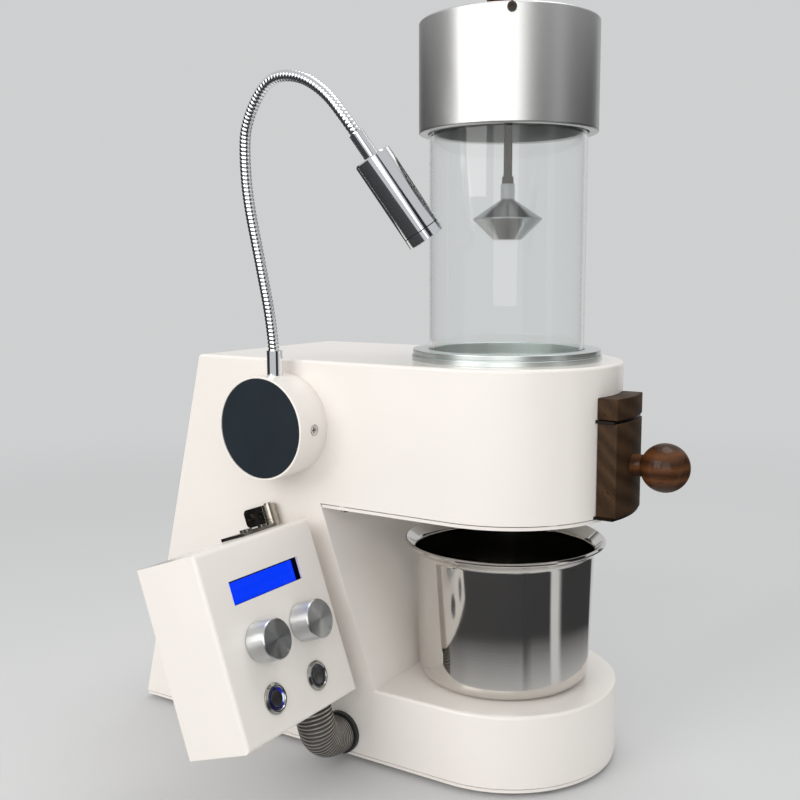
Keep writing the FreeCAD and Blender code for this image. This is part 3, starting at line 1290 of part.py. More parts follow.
def make_display():
    """Display frame and circuit board behind the window, and the glass in it."""
    wall = S.box_wall
    margin = S.frame_margin
    fit = dim(0.1)
    lap = dim(1)
    frame_back = -(wall + S.frame_depth)
    frame = box((frame_back, window_low[0] - margin, window_low[1] - margin),
                (-wall, window_top[0] + margin, window_top[1] + margin))
    light_way = box((-S.screen_sink - 1, window_low[0], window_low[1]), (0, window_top[0], window_top[1]))
    pocket = box((frame_back - 1, window_low[0] - lap, window_low[1] - lap),
                 (-S.screen_sink, window_top[0] + lap, window_top[1] + lap))
    board = box((frame_back - S.board_thick, window_low[0] - margin * 1.75, window_low[1] - margin * 1.6),
                (frame_back, window_top[0] + margin * 1.75, window_top[1] + margin * 1.6))
    node("lcd_module", in_box(group(cut(frame, light_way, pocket), board)))
    glass = box((-S.screen_sink - 1, window_low[0] - lap + fit, window_low[1] - lap + fit),
                (-S.screen_sink, window_top[0] + lap - fit, window_top[1] + lap - fit))
    node("lcd_screen", in_box(group(glass)))


def make_knobs():
    """Spun knobs, each on a potentiometer's shaft, and the potentiometers behind the panel."""
    wall = S.box_wall
    bushing = S.shaft_radius + 0.8
    shaft_back = -wall - 6
    top = S.knob_off + S.knob_height
    recess_radius = S.knob_radius - 3.5
    recess_top = S.knob_off + 4
    pots = []
    for side, y in knob_ys.items():
        def part(radius, start, length):
            return rod(radius, length, (start, y, knob_z), "X")

        pot = fuse(part(bushing, -wall - 0.5, wall + 2.5), part(bushing + 2, 0, 2), part(8, -wall - 9, 9))
        pots.append(cut(pot, part(S.shaft_radius + S.shaft_gap, shaft_back - 1, 20)))
        knob = turned([(0, shaft_back), (S.shaft_radius, shaft_back), (S.shaft_radius, recess_top),
                       (recess_radius, recess_top), (recess_radius, S.knob_off), (S.knob_radius, S.knob_off),
                       (S.knob_radius, top), (0, top)])
        bevel_edges(knob, dim(1), on_circle(S.knob_radius, top))
        place(knob, (0, y, knob_z), TURNS["X"])
        node(side + "_knob", in_box(group(knob)))
    node("potentiometers", in_box(group(*pots)))


def make_buttons():
    """Push buttons: a round housing with its bezel, and the plunger that travels in it."""
    bore = S.plunger_radius + S.plunger_gap
    rim = S.bezel_thick
    bevel = dim(0.6)
    floor = -S.barrel_depth + 2
    plunger_back = floor + S.button_travel + 0.5
    face = rim - 0.4
    for side, y in button_ys.items():
        housing = turned([(bore, floor), (bore, rim), (S.bezel_radius - bevel, rim),
                          (S.bezel_radius, rim - bevel),
                          (S.bezel_radius, 0), (S.barrel_radius, 0), (S.barrel_radius, -S.barrel_depth),
                          (0, -S.barrel_depth), (0, floor)])
        place(housing, (0, y, button_z), TURNS["X"])
        node(side + "_button_housing", in_box(group(housing)))
        plunger = turned([(0, plunger_back), (S.plunger_radius, plunger_back), (S.plunger_radius, face - 0.5),
                          (S.plunger_radius - 0.5, face), (0, face)])
        place(plunger, (0, y, button_z), TURNS["X"])
        node(side + "_button_plunger", in_box(group(plunger)))


def make_hinge():
    """Pin hinge between the box's top and the stand's side wall."""
    x = -S.hinge_x
    y = S.hinge_out
    high_low = S.knuckle_low + S.knuckle_gap
    width = S.knuckle_radius
    clear = S.screw_radius + S.hole_gap
    below = -5
    half_wide = S.box_leaf_half
    leaf = fuse(box((x - half_wide, -S.box_leaf_length, 0), (x + half_wide, -1, S.box_leaf_thick)),
                box((x - width, -2, 0), (x + width, y, S.box_leaf_thick)),
                rod(width, S.knuckle_low, (x, y, 0)))
    holes = [rod(clear, 10, (screw_x, screw_y, below)) for screw_x, screw_y in box_leaf_screws()]
    bore = rod(S.pin_radius + S.shaft_gap, BIG, (x, y, -BIG / 2))
    node("box_hinge_leaf", in_box(cut(leaf, bore, *holes)))
    screws = [screw((screw_x, screw_y, S.box_leaf_thick), "-Z", dim(5))
              for screw_x, screw_y in box_leaf_screws()]
    node("box_hinge_screws", in_box(group(*screws)))

    wall_y = S.box_gap
    leaf_y = wall_y - S.leaf_thick
    end_x = x - S.leaf_length
    near_x = x - width - S.knuckle_gap
    corner = S.leaf_round
    plates = [box((end_x + corner, leaf_y, leaf_low), (near_x, wall_y, S.hinge_top)),
              box((end_x, leaf_y, leaf_low + corner), (near_x, wall_y, S.hinge_top - corner)),
              box((near_x - 1, leaf_y, high_low), (x, wall_y, S.hinge_top))]
    corners = [rod(corner, S.leaf_thick, (end_x + corner, leaf_y, z), "Y")
               for z in (leaf_low + corner, S.hinge_top - corner)]
    groove_low = (high_low + S.hinge_top - S.knuckle_groove) / 2
    groove = cut(rod(width + 1, S.knuckle_groove, (x, y, groove_low)),
                 rod(width - S.knuckle_groove, BIG, (x, y, 0)),
                 box((x - width - 2, leaf_y, 0), (x + width + 2, wall_y, BIG)))
    leaf = fuse(*plates, *corners, cut(rod(width, S.hinge_top - high_low, (x, y, high_low)), groove))
    holes = [rod(clear, 10, (screw_x, wall_y + below, z), "Y") for screw_x, z in body_leaf_screws()]
    tight_bore = rod(S.pin_radius, BIG, (x, y, -BIG / 2))
    node("body_hinge_leaf", in_box(cut(leaf, tight_bore, *holes)))
    screws = [screw((screw_x, leaf_y, z), "Y", S.wall * 3) for screw_x, z in body_leaf_screws()]
    node("body_hinge_screws", in_box(group(*screws)))
    pin = rod(S.pin_radius, S.hinge_top - S.knuckle_gap, (x, y, S.knuckle_gap))
    head = rod(S.pin_radius + 1, 1, (x, y, S.hinge_top))
    node("hinge_pin", in_box(fuse(pin, head)))


def make_conduit():
    """Corrugated conduit from under the box into the stand's side, with a gland at each end."""
    def gland():
        bore = S.gland_barrel - 2
        return turned([(bore, -S.gland_thick), (S.gland_radius, -S.gland_thick), (S.gland_radius, 0),
                       (S.gland_barrel, 0), (S.gland_barrel, S.gland_depth), (bore, S.gland_depth)])

    box_gland = place(gland(), (-S.conduit_x, -S.conduit_y, -S.box_height))
    node("conduit_box_gland", in_box(group(box_gland)))
    wall_gland = place(gland(), (-S.conduit_wall_x, -half_width, S.conduit_z), TURNS["Y"])
    node("conduit_body_gland", group(wall_gland))

    start_low = -(S.box_height + S.gland_thick)
    exit_at = box_point(-S.conduit_x, -S.conduit_y, start_low)
    first_bend = box_point(-S.conduit_x, -S.conduit_y, start_low - S.conduit_drop)
    corner = Vector(-float(S.conduit_wall_x), exit_at.y + float(S.conduit_in), float(S.conduit_z))
    end = Vector(corner.x, -float(half_width + S.gland_thick), corner.z)
    points = [exit_at, first_bend, corner, end]
    radii = [easy_radii(points)[0], float(S.conduit_bend)]
    print("conduit radii", [round(value, 1) for value in radii])
    path = run_wire(points, radii)
    outside = swept(path, float(S.conduit_radius))
    node("conduit", feature(outside.cut(swept(path, float(S.conduit_bore)))))


def box_point(x, y, z):
    """A point of the box's frame in the object's frame."""
    spin = Placement(Vector(*[float(value) for value in box_at]), Rotation(BOX_AXIS, -float(S.front_lean)))
    return spin.multVec(Vector(float(x), float(y), float(z)))


# ---------------------------------------------------------------- build, test and export

make_casing()
make_closing_plates()
make_rear()
make_chamber()
make_cap()
make_deflector()
make_bean_path()
make_nose()
make_heater()
make_air_duct()
make_blower()
make_power_board()
make_cup()
make_lamp_base()
make_neck()
make_lamp_head()
make_box_shell()
make_display()
make_knobs()
make_buttons()
make_hinge()
make_conduit()
doc.recompute()

faults = [item.Name for item in doc.Objects if {"Invalid", "Error"} & set(item.State)]
faults += [item.Label for item in nodes if item.Shape.isNull() or not item.Shape.isValid()]
if faults:
    raise RuntimeError("failed objects: " + ", ".join(faults))
os.makedirs("parts", exist_ok=True)
for item in nodes:
    item.Shape.exportStep(os.path.join("parts", item.Label + ".step"))
print(len(nodes), "nodes")
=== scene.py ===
"""Looks of the home coffee bean roaster, laid out as a Blender add-on.

Metres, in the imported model's own frame: +Z up, +X to the nose with the wooden gate, -Y to the side
with the lamp and the control box. New pieces are surfaces worked out with numpy, and every finish
is made of nodes.
"""
import functools
import json
import math

import bmesh
import bpy
import numpy as np
from bpy.props import FloatProperty, FloatVectorProperty, IntProperty, PointerProperty
from mathutils import Matrix, Vector

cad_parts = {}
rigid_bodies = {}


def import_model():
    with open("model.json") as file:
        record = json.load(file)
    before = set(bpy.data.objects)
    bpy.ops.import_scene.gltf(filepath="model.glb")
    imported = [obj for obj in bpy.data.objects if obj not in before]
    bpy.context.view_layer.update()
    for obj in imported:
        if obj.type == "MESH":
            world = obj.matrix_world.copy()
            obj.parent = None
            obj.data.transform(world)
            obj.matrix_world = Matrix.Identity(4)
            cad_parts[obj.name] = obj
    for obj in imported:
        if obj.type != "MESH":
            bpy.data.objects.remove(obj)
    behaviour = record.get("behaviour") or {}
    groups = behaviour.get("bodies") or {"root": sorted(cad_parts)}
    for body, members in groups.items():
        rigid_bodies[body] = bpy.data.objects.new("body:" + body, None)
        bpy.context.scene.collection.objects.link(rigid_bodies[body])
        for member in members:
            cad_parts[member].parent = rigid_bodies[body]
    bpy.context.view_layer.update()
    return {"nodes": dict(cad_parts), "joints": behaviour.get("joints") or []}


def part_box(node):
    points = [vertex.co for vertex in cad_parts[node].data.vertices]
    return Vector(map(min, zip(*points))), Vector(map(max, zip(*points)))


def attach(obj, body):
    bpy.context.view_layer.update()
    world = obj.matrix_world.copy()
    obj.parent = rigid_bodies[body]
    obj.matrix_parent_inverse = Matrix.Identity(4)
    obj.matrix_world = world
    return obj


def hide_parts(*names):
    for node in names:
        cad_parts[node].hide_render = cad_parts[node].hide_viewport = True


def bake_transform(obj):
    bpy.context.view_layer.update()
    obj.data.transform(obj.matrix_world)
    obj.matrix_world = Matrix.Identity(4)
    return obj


bl_info = {
    "name": "Coffee roaster looks",
    "version": (1, 0, 0),
    "blender": (4, 5, 0),
    "location": "3D View > Sidebar > Roaster",
    "description": "Dresses the packed coffee roaster with detailed surfaces and finishes",
    "category": "Object",
}

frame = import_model()
JOINTS = {joint["name"]: joint for joint in frame["joints"]}
MM = 0.001
AXIS_X, AXIS_Y, AXIS_Z = Vector((1, 0, 0)), Vector((0, 1, 0)), Vector((0, 0, 1))
FACE_OUT = Vector(JOINTS["left_knob_turn"]["axis"]).normalized()
FACE_UP = FACE_OUT.cross(AXIS_Y)


def low(node):
    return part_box(node)[0]


def high(node):
    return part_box(node)[1]


def middle(node):
    """Centre of a node's box."""
    return (low(node) + high(node)) / 2


# ---------------------------------------------------------------- what a user may change


def size(name, millimetres, description):
    """Length given in millimetres and kept in metres."""
    return FloatProperty(name=name, default=millimetres * MM, description=description,
                         unit="LENGTH", subtype="DISTANCE", precision=5)


def colour(name, value, description):
    return FloatVectorProperty(name=name, default=value, description=description, size=3,
                               min=0, max=1, subtype="COLOR")


class RoasterSizes(bpy.types.PropertyGroup):
    """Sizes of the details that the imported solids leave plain."""

    neck_pitch: size("Neck pitch", 2.5, "Rise of the gooseneck's coil at each turn")
    neck_depth: size("Neck groove", 0.42, "Depth of the groove between the gooseneck's turns")
    conduit_pitch: size("Conduit pitch", 2.0, "Distance between the conduit's ribs")
    conduit_depth: size("Conduit rib", 0.9, "Depth of the groove between the conduit's ribs")
    wood_edge: size("Wood edge", 0.7, "Rounding of the wooden blocks' edges")
    knob_edge: size("Knob edge", 0.7, "Chamfer round a knob's face")
    knob_mark: size("Knob mark", 0.35, "Depth of the mark cut in a knob's face")
    ring_width: size("Light ring", 1.3, "Width of the light ring in a push button")
    cap_edge: size("Cap edge", 1.1, "Rounding of the cap's outer edges")
    glass_wall: size("Glass wall", 3.0, "Thickness of the glass tube")


class RoasterColours(bpy.types.PropertyGroup):
    """Base colours of the finishes."""

    paint: colour("Paint", (0.875, 0.832, 0.785), "Stand, control box and lamp base")
    cap: colour("Cap", (0.74, 0.74, 0.73), "Bead-blasted aluminium of the chamber cap")
    seat: colour("Glass seat", (0.77, 0.82, 0.805), "Anodised ring under the glass")
    spun: colour("Spun aluminium", (0.74, 0.76, 0.77), "Knobs and deflector")
    chrome: colour("Chrome", (0.80, 0.82, 0.84), "Gooseneck and lamp head")
    steel: colour("Steel", (0.72, 0.70, 0.67), "Polished cup")
    walnut: colour("Walnut", (0.042, 0.022, 0.010), "Wooden blocks on the nose")
    ball: colour("Ball wood", (0.060, 0.021, 0.006), "Ball knobs")
    cover: colour("Lamp cover", (0.013, 0.021, 0.029), "Disc on the lamp base")
    display: colour("Display", (0.0, 0.040, 0.95), "Lit display")
    light_ring: colour("Light ring", (0.02, 0.03, 1.0), "Lit ring of the left button")
    nickel: colour("Nickel", (0.105, 0.098, 0.092), "Hinge")
    conduit: colour("Conduit", (0.50, 0.47, 0.43), "Corrugated conduit")


class RoasterStage(bpy.types.PropertyGroup):
    """Camera, lamps and background."""

    lens: FloatProperty(name="Lens", default=45.93,
                        description="Focal length in millimetres on a 36 mm sensor")
    azimuth: FloatProperty(name="Azimuth", default=math.radians(32.29), subtype="ANGLE",
                           description="Camera's direction round the roaster")
    pitch: FloatProperty(name="Pitch", default=math.radians(7.35), subtype="ANGLE",
                         description="How far the camera looks down")
    roll: FloatProperty(name="Roll", default=math.radians(-0.18), subtype="ANGLE",
                        description="Camera's roll")
    place: FloatVectorProperty(name="Camera", default=(0.2971, -0.5956, 0.3220), subtype="TRANSLATION",
                               unit="LENGTH", description="Where the camera stands")
    backdrop: colour("Backdrop", (0.62, 0.625, 0.63), "Background and floor")
    ambient: FloatProperty(name="Ambient", default=0.66, min=0, description="Light from all sides")
    floor_corners: IntProperty(name="Floor corners", default=64, min=8,
                               description="Corners of the round floor")


# ---------------------------------------------------------------- shapes


def turn_to(axis, side):
    """Turn whose third column is the axis and whose first is the side made square to it."""
    third = Vector(axis).normalized()
    first = (Vector(side) - third * Vector(side).dot(third)).normalized()
    return Matrix((first, third.cross(first), third)).transposed()


UPRIGHT = turn_to(AXIS_Z, AXIS_X)
BOX_TURN = turn_to(FACE_OUT, FACE_UP)
SUPPORT = 0.25 * MM


def rounded(corners, rounds, closed=False, steps=6):
    """Profile through corners, each replaced by an arc tangent to both its sides.

    The arc's centre lies on the corner's bisector at radius / sin(half the angle); its points turn
    evenly from one tangent point to the other. Points a little before and after each arc keep the
    straight stretches flat when they are shaded.
    """
    corners = np.asarray(corners, float)
    pieces = []
    for index, radius in enumerate(rounds):
        here = corners[index]
        if radius == 0:
            pieces.append(here[None])
            continue
        back = corners[index - 1] - here
        ahead = corners[(index + 1) % len(corners)] - here
        back /= np.linalg.norm(back)
        ahead /= np.linalg.norm(ahead)
        half = math.acos(np.clip(back @ ahead, -1, 1)) / 2
        bisector = (back + ahead) / np.linalg.norm(back + ahead)
        centre = here + bisector * radius / math.sin(half)
        reach = radius / math.tan(half)
        start, end = here + back * reach - centre, here + ahead * reach - centre
        sweep = math.pi - 2 * half
        share = np.linspace(0, 1, steps + 1)[:, None]
        arc = (np.sin((1 - share) * sweep) * start + np.sin(share * sweep) * end) / math.sin(sweep)
        pieces.append(centre + arc)
    points = np.vstack(pieces)
    following = np.roll(points, -1, 0) if closed else np.vstack([points[1:], points[-1:]])
    gaps = np.linalg.norm(following - points, axis=1)
    long = gaps > 4 * SUPPORT
    step = (following - points) / np.maximum(gaps, 1e-12)[:, None] * SUPPORT
    filled = []
    for point, after, stride, wide in zip(points, following, step, long):
        filled += [point, point + stride, after - stride] if wide else [point]
    return np.array(filled)


def arc_points(radius, start, end, steps):
    """Points of a circle about the origin between two angles."""
    angles = np.linspace(start, end, steps)
    return np.stack([radius * np.cos(angles), radius * np.sin(angles)], 1)


def swept(angles, radius, heights):
    """Profile turned through angles: radius times (cosine, sine) of each angle, and the heights."""
    spread = np.broadcast_to(heights, (len(angles), len(radius)))
    return np.stack([np.outer(np.cos(angles), radius), np.outer(np.sin(angles), radius), spread], -1)


def route(points, spacing):
    """Evenly spaced points along the smooth spline that has the given control points."""
    curve = bpy.data.curves.new("route", "CURVE")
    curve.dimensions = "3D"
    spline = curve.splines.new("NURBS")
    spline.points.add(len(points) - 1)
    spline.points.foreach_set("co", np.hstack([np.array(points), np.ones((len(points), 1))]).ravel())
    spline.order_u = 3
    spline.use_endpoint_u = True
    spline.resolution_u = 24
    holder = bpy.data.objects.new("route", curve)
    mesh = bpy.data.meshes.new_from_object(holder)
    raw = np.empty(len(mesh.vertices) * 3)
    mesh.vertices.foreach_get("co", raw)
    raw = raw.reshape(-1, 3)
    bpy.data.objects.remove(holder)
    bpy.data.curves.remove(curve)
    bpy.data.meshes.remove(mesh)
    along = np.concatenate([[0], np.cumsum(np.linalg.norm(np.diff(raw, axis=0), axis=1))])
    even = np.linspace(0, along[-1], int(along[-1] / spacing) + 1)
    return np.stack([np.interp(even, along, raw[:, axis]) for axis in range(3)], 1), even


class Shape:
    """Grids of points that together make one piece's mesh."""

    def __init__(self):
        self.points = []
        self.faces = []
        self.uvs = []
        self.count = 0

    def grid(self, points, wrap_rows=False, wrap_columns=False, along=None):
        """Cells between neighbouring rows and columns; a wrapped side joins its last line to its first.

        The map's first coordinate is the share of the rows, its second a length given for each column,
        or else the length along the first row.
        """
        rows, columns = points.shape[:2]
        row, column = np.meshgrid(np.arange(rows - (not wrap_rows)), np.arange(columns - (not wrap_columns)),
                                  indexing="ij")
        row = np.stack([row, row + 1, row + 1, row], -1).reshape(-1, 4)
        column = np.stack([column, column, column + 1, column + 1], -1).reshape(-1, 4)
        if along is None:
            around = np.vstack([points[0], points[0][:1]])
            along = np.concatenate([[0], np.cumsum(np.linalg.norm(np.diff(around, axis=0), axis=1))])
        self.faces += ((row % rows) * columns + column % columns + self.count).tolist()
        self.uvs.append(np.stack([row / (rows if wrap_rows else rows - 1), along[column]], -1).reshape(-1, 2))
        self.points.append(points.reshape(-1, 3))
        self.count += rows * columns
        return self

    def turned(self, corners, rounds, at, turn, closed=False, around=128, shift=None):
        """Profile of (radius, height) turned about the third axis of a turn.

        A point is radius times (cosine, sine) of its angle, and its height; shift moves heights by a
        function of the angles and radii.
        """
        profile = rounded(corners, rounds, closed)
        angles = np.arange(around) / around * 2 * math.pi
        radius, height = profile.T
        heights = height
        if shift:
            heights = height + shift(angles[:, None], radius[None, :], height[None, :])
        local = swept(angles, radius, heights)
        return self.grid(local @ np.array(turn).T + np.array(at), True, closed)

    def prism(self, outline, bottom, top, edge, at=(0, 0, 0), turn=UPRIGHT):
        """Outline carried from bottom to top and drawn in along its normals near both ends, by a
        quarter circle of the edge's radius; its two ends are flat faces."""
        run = np.roll(outline, -1, 0) - np.roll(outline, 1, 0)
        normal = np.stack([run[:, 1], -run[:, 0]], 1) / np.linalg.norm(run, axis=1)[:, None]
        bend = np.linspace(0, math.pi / 2, 5)
        inset = edge * np.concatenate([1 - np.sin(bend), 1 - np.cos(bend)])
        height = np.concatenate([bottom + edge * (1 - np.cos(bend)), top - edge * (1 - np.sin(bend))])
        flat = outline[None] - normal[None] * inset[:, None, None]
        local = np.concatenate([flat, np.broadcast_to(height[:, None, None], flat.shape[:2] + (1,))], 2)
        first = self.count
        self.grid(local @ np.array(turn).T + np.array(at), False, True)
        ring = np.arange(len(outline))
        for start in (first, self.count - len(outline)):
            self.faces.append((start + ring).tolist())
            self.uvs.append(np.zeros((len(outline), 2)))
        return self

    def tube(self, path, radius, reference, along):
        """Circles square to a path, whose radius is given for each point and angle.

        The first direction of each circle is the reference crossed with the path's tangent.
        """
        tangent = np.gradient(path, axis=0)
        tangent /= np.linalg.norm(tangent, axis=1)[:, None]
        first = np.cross(reference, tangent)
        first /= np.linalg.norm(first, axis=1)[:, None]
        second = np.cross(tangent, first)
        angles = np.arange(radius.shape[1]) / radius.shape[1] * 2 * math.pi
        cosine, sine = np.cos(angles)[None, :, None], np.sin(angles)[None, :, None]
        spoke = cosine * first[:, None] + sine * second[:, None]
        points = path[:, None] + radius[:, :, None] * spoke
        return self.grid(points.transpose(1, 0, 2), True, False, along)

    def close_ends(self, path_count, around):
        """Flat faces over both ends of the last tube."""
        start = self.count - path_count * around
        rows = start + np.arange(around) * path_count
        for ring in (rows, rows + path_count - 1):
            self.faces.append(ring.tolist())
            self.uvs.append(np.zeros((around, 2)))
        return self

    def piece(self, name, finish, body=None, replaces=(), slot=None, sharp=38):
        """Mesh object: points that meet are welded, faces turned outwards, edges past an angle sharp."""
        mesh = bpy.data.meshes.new(name)
        mesh.from_pydata(np.vstack(self.points).tolist(), [], self.faces)
        mesh.uv_layers.new(name="UVMap").data.foreach_set("uv", np.vstack(self.uvs).ravel())
        built = bmesh.new()
        built.from_mesh(mesh)
        bmesh.ops.remove_doubles(built, verts=built.verts, dist=1e-6)
        bmesh.ops.recalc_face_normals(built, faces=built.faces)
        built.to_mesh(mesh)
        built.free()
        mesh.shade_smooth()
        mesh.set_sharp_from_angle(angle=math.radians(sharp))
        mesh.materials.append(finish)
        made = bpy.data.objects.new(name, mesh)
        bpy.context.scene.collection.objects.link(made)
        if body:
            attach(made, body)
        if replaces:
            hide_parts(*replaces)
        return made


def dress(finish, *nodes):
    """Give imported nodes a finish."""
    for node in nodes:
        materials = frame["nodes"][node].data.materials
        materials.clear()
        materials.append(finish)


# ---------------------------------------------------------------- finishes


class Recipe:
    """Nodes of one finish, with short calls for what the finishes share."""

    def __init__(self, name):
        self.material = bpy.data.materials.new(name)
        self.material.use_nodes = True
        self.tree = self.material.node_tree
        self.tree.nodes.clear()
        self.output = self.tree.nodes.new("ShaderNodeOutputMaterial")
        self.surface = self.tree.nodes.new("ShaderNodeBsdfPrincipled")
        self.join(self.surface.outputs[0], self.output.inputs["Surface"])

    def join(self, source, target):
        self.tree.links.new(source, target)

    def add(self, kind, inputs=None, **settings):
        """Node of a kind; an input is a value or another node's output."""
        node = self.tree.nodes.new("ShaderNode" + kind)
        for name, value in settings.items():
            setattr(node, name, value)
        for name, value in (inputs or {}).items():
            self.put(node.inputs[name], value)
        return node

    def put(self, socket, value):
        if isinstance(value, bpy.types.NodeSocket):
            self.join(value, socket)
        elif socket.type == "RGBA" and len(value) == 3:
            socket.default_value = (*value, 1)
        else:
            socket.default_value = value

    def set(self, values):
        """Sockets of the principled surface."""
        for name, value in values.items():
            self.put(self.surface.inputs[name], value)

    def place(self, scale=(1, 1, 1), at=(0, 0, 0), turn=None):
        """Object coordinates about a point, along a turn's columns, times a scale."""
        source = self.add("TexCoord").outputs["Object"]
        if turn is not None:
            source = self.add("Mapping", {"Vector": source, "Location": at, "Rotation": turn.to_euler()},
                              vector_type="TEXTURE").outputs[0]
        return self.add("Mapping", {"Vector": source, "Scale": scale}).outputs[0]

    def part(self, vector, axis):
        """One coordinate of a vector."""
        return self.add("SeparateXYZ", {0: vector}).outputs[axis]

    def profile_length(self):
        """The piece's own map: length along its profile."""
        return self.part(self.add("UVMap", uv_map="UVMap").outputs[0], "Y")

    def noise(self, vector, scale=1.0, detail=2.0, roughness=0.5):
        return self.add("TexNoise", {"Vector": vector, "Scale": scale, "Detail": detail,
                                     "Roughness": roughness}).outputs["Fac"]

    def cells(self, scale):
        """Chance value of each cell of a Voronoi pattern."""
        tint = self.add("TexVoronoi", {"Vector": self.place(), "Scale": scale}).outputs["Color"]
        return self.add("SeparateColor", {0: tint}).outputs[0]

    def lines(self, length, per_metre, detail=3.0):
        """Noise that changes along one length only, as on a turned surface."""
        return self.add("TexNoise", {"W": self.maths("MULTIPLY", length, per_metre), "Scale": 1.0,
                                     "Detail": detail}, noise_dimensions="1D").outputs["Fac"]

    def maths(self, operation, first, second=0.0):
        node = self.add("Math", operation=operation)
        for socket, value in zip(node.inputs, (first, second)):
            self.put(socket, value)
        return node.outputs[0]

    def span(self, value, start, end, to_start=0.0, to_end=1.0):
        """A value's range turned into another, and held within it."""
        return self.add("MapRange", {"Value": value, "From Min": start, "From Max": end,
                                     "To Min": to_start, "To Max": to_end}).outputs[0]

    def blend(self, factor, first, second):
        """Colour between two; the node's sockets 0, 6 and 7 are its factor and its two colours."""
        node = self.add("Mix", data_type="RGBA")
        for index, value in ((0, factor), (6, first), (7, second)):
            self.put(node.inputs[index], value)
        return node.outputs[2]

    def tone(self, value, start, end, first, second):
        """Colour that goes from one to another while a value goes through a range."""
        return self.blend(self.span(value, start, end), first, second)

    def bump(self, height, strength, distance):
        return self.add("Bump", {"Height": height, "Strength": strength, "Distance": distance}).outputs[0]

    def around(self):
        """Tangent that runs round a turned piece."""
        return self.add("Tangent", direction_type="UV_MAP", uv_map="UVMap").outputs[0]

    def lamps_pass(self):
        """Let rays from lamps go straight through, so that what is behind glass is lit."""
        path = self.add("LightPath").outputs["Is Shadow Ray"]
        clear = self.add("BsdfTransparent", {"Color": (0.94, 0.96, 0.96)}).outputs[0]
        self.show(path, self.surface.outputs[0], clear)

    def show(self, share, first, second):
        """Give the output a mixture of two shaders."""
        mixed = self.add("MixShader", {0: share, 1: first, 2: second}).outputs[0]
        self.join(mixed, self.output.inputs["Surface"])


def finish(make):
    """Turn a recipe into a function that gives its material, made at the first call."""
    name = "Roaster " + make.__name__.replace("_", " ")

    @functools.wraps(make)
    def give():
        if name not in bpy.data.materials:
            make(Recipe(name), bpy.context.scene.roaster_colours)
        return bpy.data.materials[name]
    return give


def shade(value, factor):
    """Colour times a factor."""
    return tuple(channel * factor for channel in value)


@finish
def gloss_paint(recipe, colours):
    """Powder coat: faint orange peel, slow drift of shade and gloss."""
    drift = recipe.noise(recipe.place(), 11, 3)
    peel = recipe.noise(recipe.place(), 330, 1)
    recipe.set({
        "Base Color": recipe.tone(drift, 0.3, 0.7, colours.paint, shade(colours.paint, 0.965)),
        "Roughness": recipe.span(recipe.noise(recipe.place(), 45, 4), 0.3, 0.7, 0.29, 0.36),
        "Normal": recipe.bump(peel, 0.05, 0.0003),
        "Coat Weight": 0.35, "Coat Roughness": 0.10, "IOR": 1.5,
    })


@finish
def blasted_aluminium(recipe, colours):
    """Bead-blasted and anodised: fine sparkle in shade, gloss and height."""
    sparkle = recipe.noise(recipe.place(), 1900, 2, 0.7)
    recipe.set({
        "Base Color": recipe.tone(sparkle, 0.35, 0.65, shade(colours.cap, 0.92), colours.cap),
        "Metallic": 1.0,
        "Roughness": recipe.span(sparkle, 0.3, 0.7, 0.34, 0.42),
        "Normal": recipe.bump(sparkle, 0.12, 0.0002),
    })


@finish
def seat_aluminium(recipe, colours):
    """Turned and anodised ring: fine lathe lines round its axis."""
    tool = recipe.lines(recipe.profile_length(), 5200)
    recipe.set({
        "Base Color": recipe.tone(tool, 0.3, 0.7, shade(colours.seat, 0.93), colours.seat),
        "Metallic": 1.0, "Roughness": 0.36, "Anisotropic": 0.45, "Anisotropic Rotation": 0.25,
        "Tangent": recipe.around(),
        "Normal": recipe.bump(tool, 0.10, 0.0001),
    })


@finish
def spun_aluminium(recipe, colours):
    """Face cut on a lathe: close rings that draw the light out into a bow."""
    tool = recipe.lines(recipe.profile_length(), 7000, 4)
    recipe.set({
        "Base Color": recipe.tone(tool, 0.3, 0.7, shade(colours.spun, 0.54), shade(colours.spun, 0.64)),
        "Metallic": 1.0, "Roughness": recipe.span(tool, 0.3, 0.7, 0.18, 0.26),
        "Anisotropic": 0.82, "Anisotropic Rotation": 0.25, "Tangent": recipe.around(),
        "Normal": recipe.bump(tool, 0.16, 0.00008),
    })


@finish
def knob_aluminium(recipe, colours):
    """Knob turned on a lathe: its fine rings throw the light far out along the radius and the side.

    The face, where the profile's length passes its edge, is painted darker than the side as painted shade,
    and the side is painted lighter than the spun colour as painted light.
    """
    length = recipe.profile_length()
    rim, fade = 41.6 * MM, 0.4 * MM
    tool = recipe.lines(length, 2600)
    # painted light and shade: the side is painted at 1.18 times the spun colour and the face at 0.72 times it
    cut = recipe.tone(length, rim, rim + fade, shade(colours.spun, 1.18), shade(colours.spun, 0.72))
    recipe.set({
        "Base Color": recipe.blend(recipe.span(tool, 0.3, 0.7, 0.25, 0.0), cut, (0, 0, 0)),
        "Metallic": 1.0, "Roughness": 0.30, "Anisotropic": 1.0, "Anisotropic Rotation": 0.25,
        "Tangent": recipe.around(),
    })


@finish
def rod_steel(recipe, colours):
    """Deflector rod, browned by the heat towards its lower end."""
    height = recipe.part(recipe.place(), "Z")
    heat = recipe.span(height, 0.40, 0.47, 0.9, 0.3)
    drawn = recipe.noise(recipe.place((400, 400, 30)))
    recipe.set({
        "Base Color": recipe.blend(heat, shade(colours.steel, 0.13), (0.055, 0.040, 0.026)),
        "Metallic": 1.0, "Roughness": recipe.span(drawn, 0.3, 0.7, 0.16, 0.26),
    })


def wiped(recipe):
    """Roughness of bright plating with faint wipe marks."""
    return recipe.span(recipe.noise(recipe.place((60, 60, 25)), 1, 4, 0.6), 0.35, 0.75, 0.035, 0.11)


@finish
def chrome(recipe, colours):
    """Bright chrome with faint wipe marks."""
    recipe.set({"Base Color": colours.chrome, "Metallic": 1.0, "Roughness": wiped(recipe)})


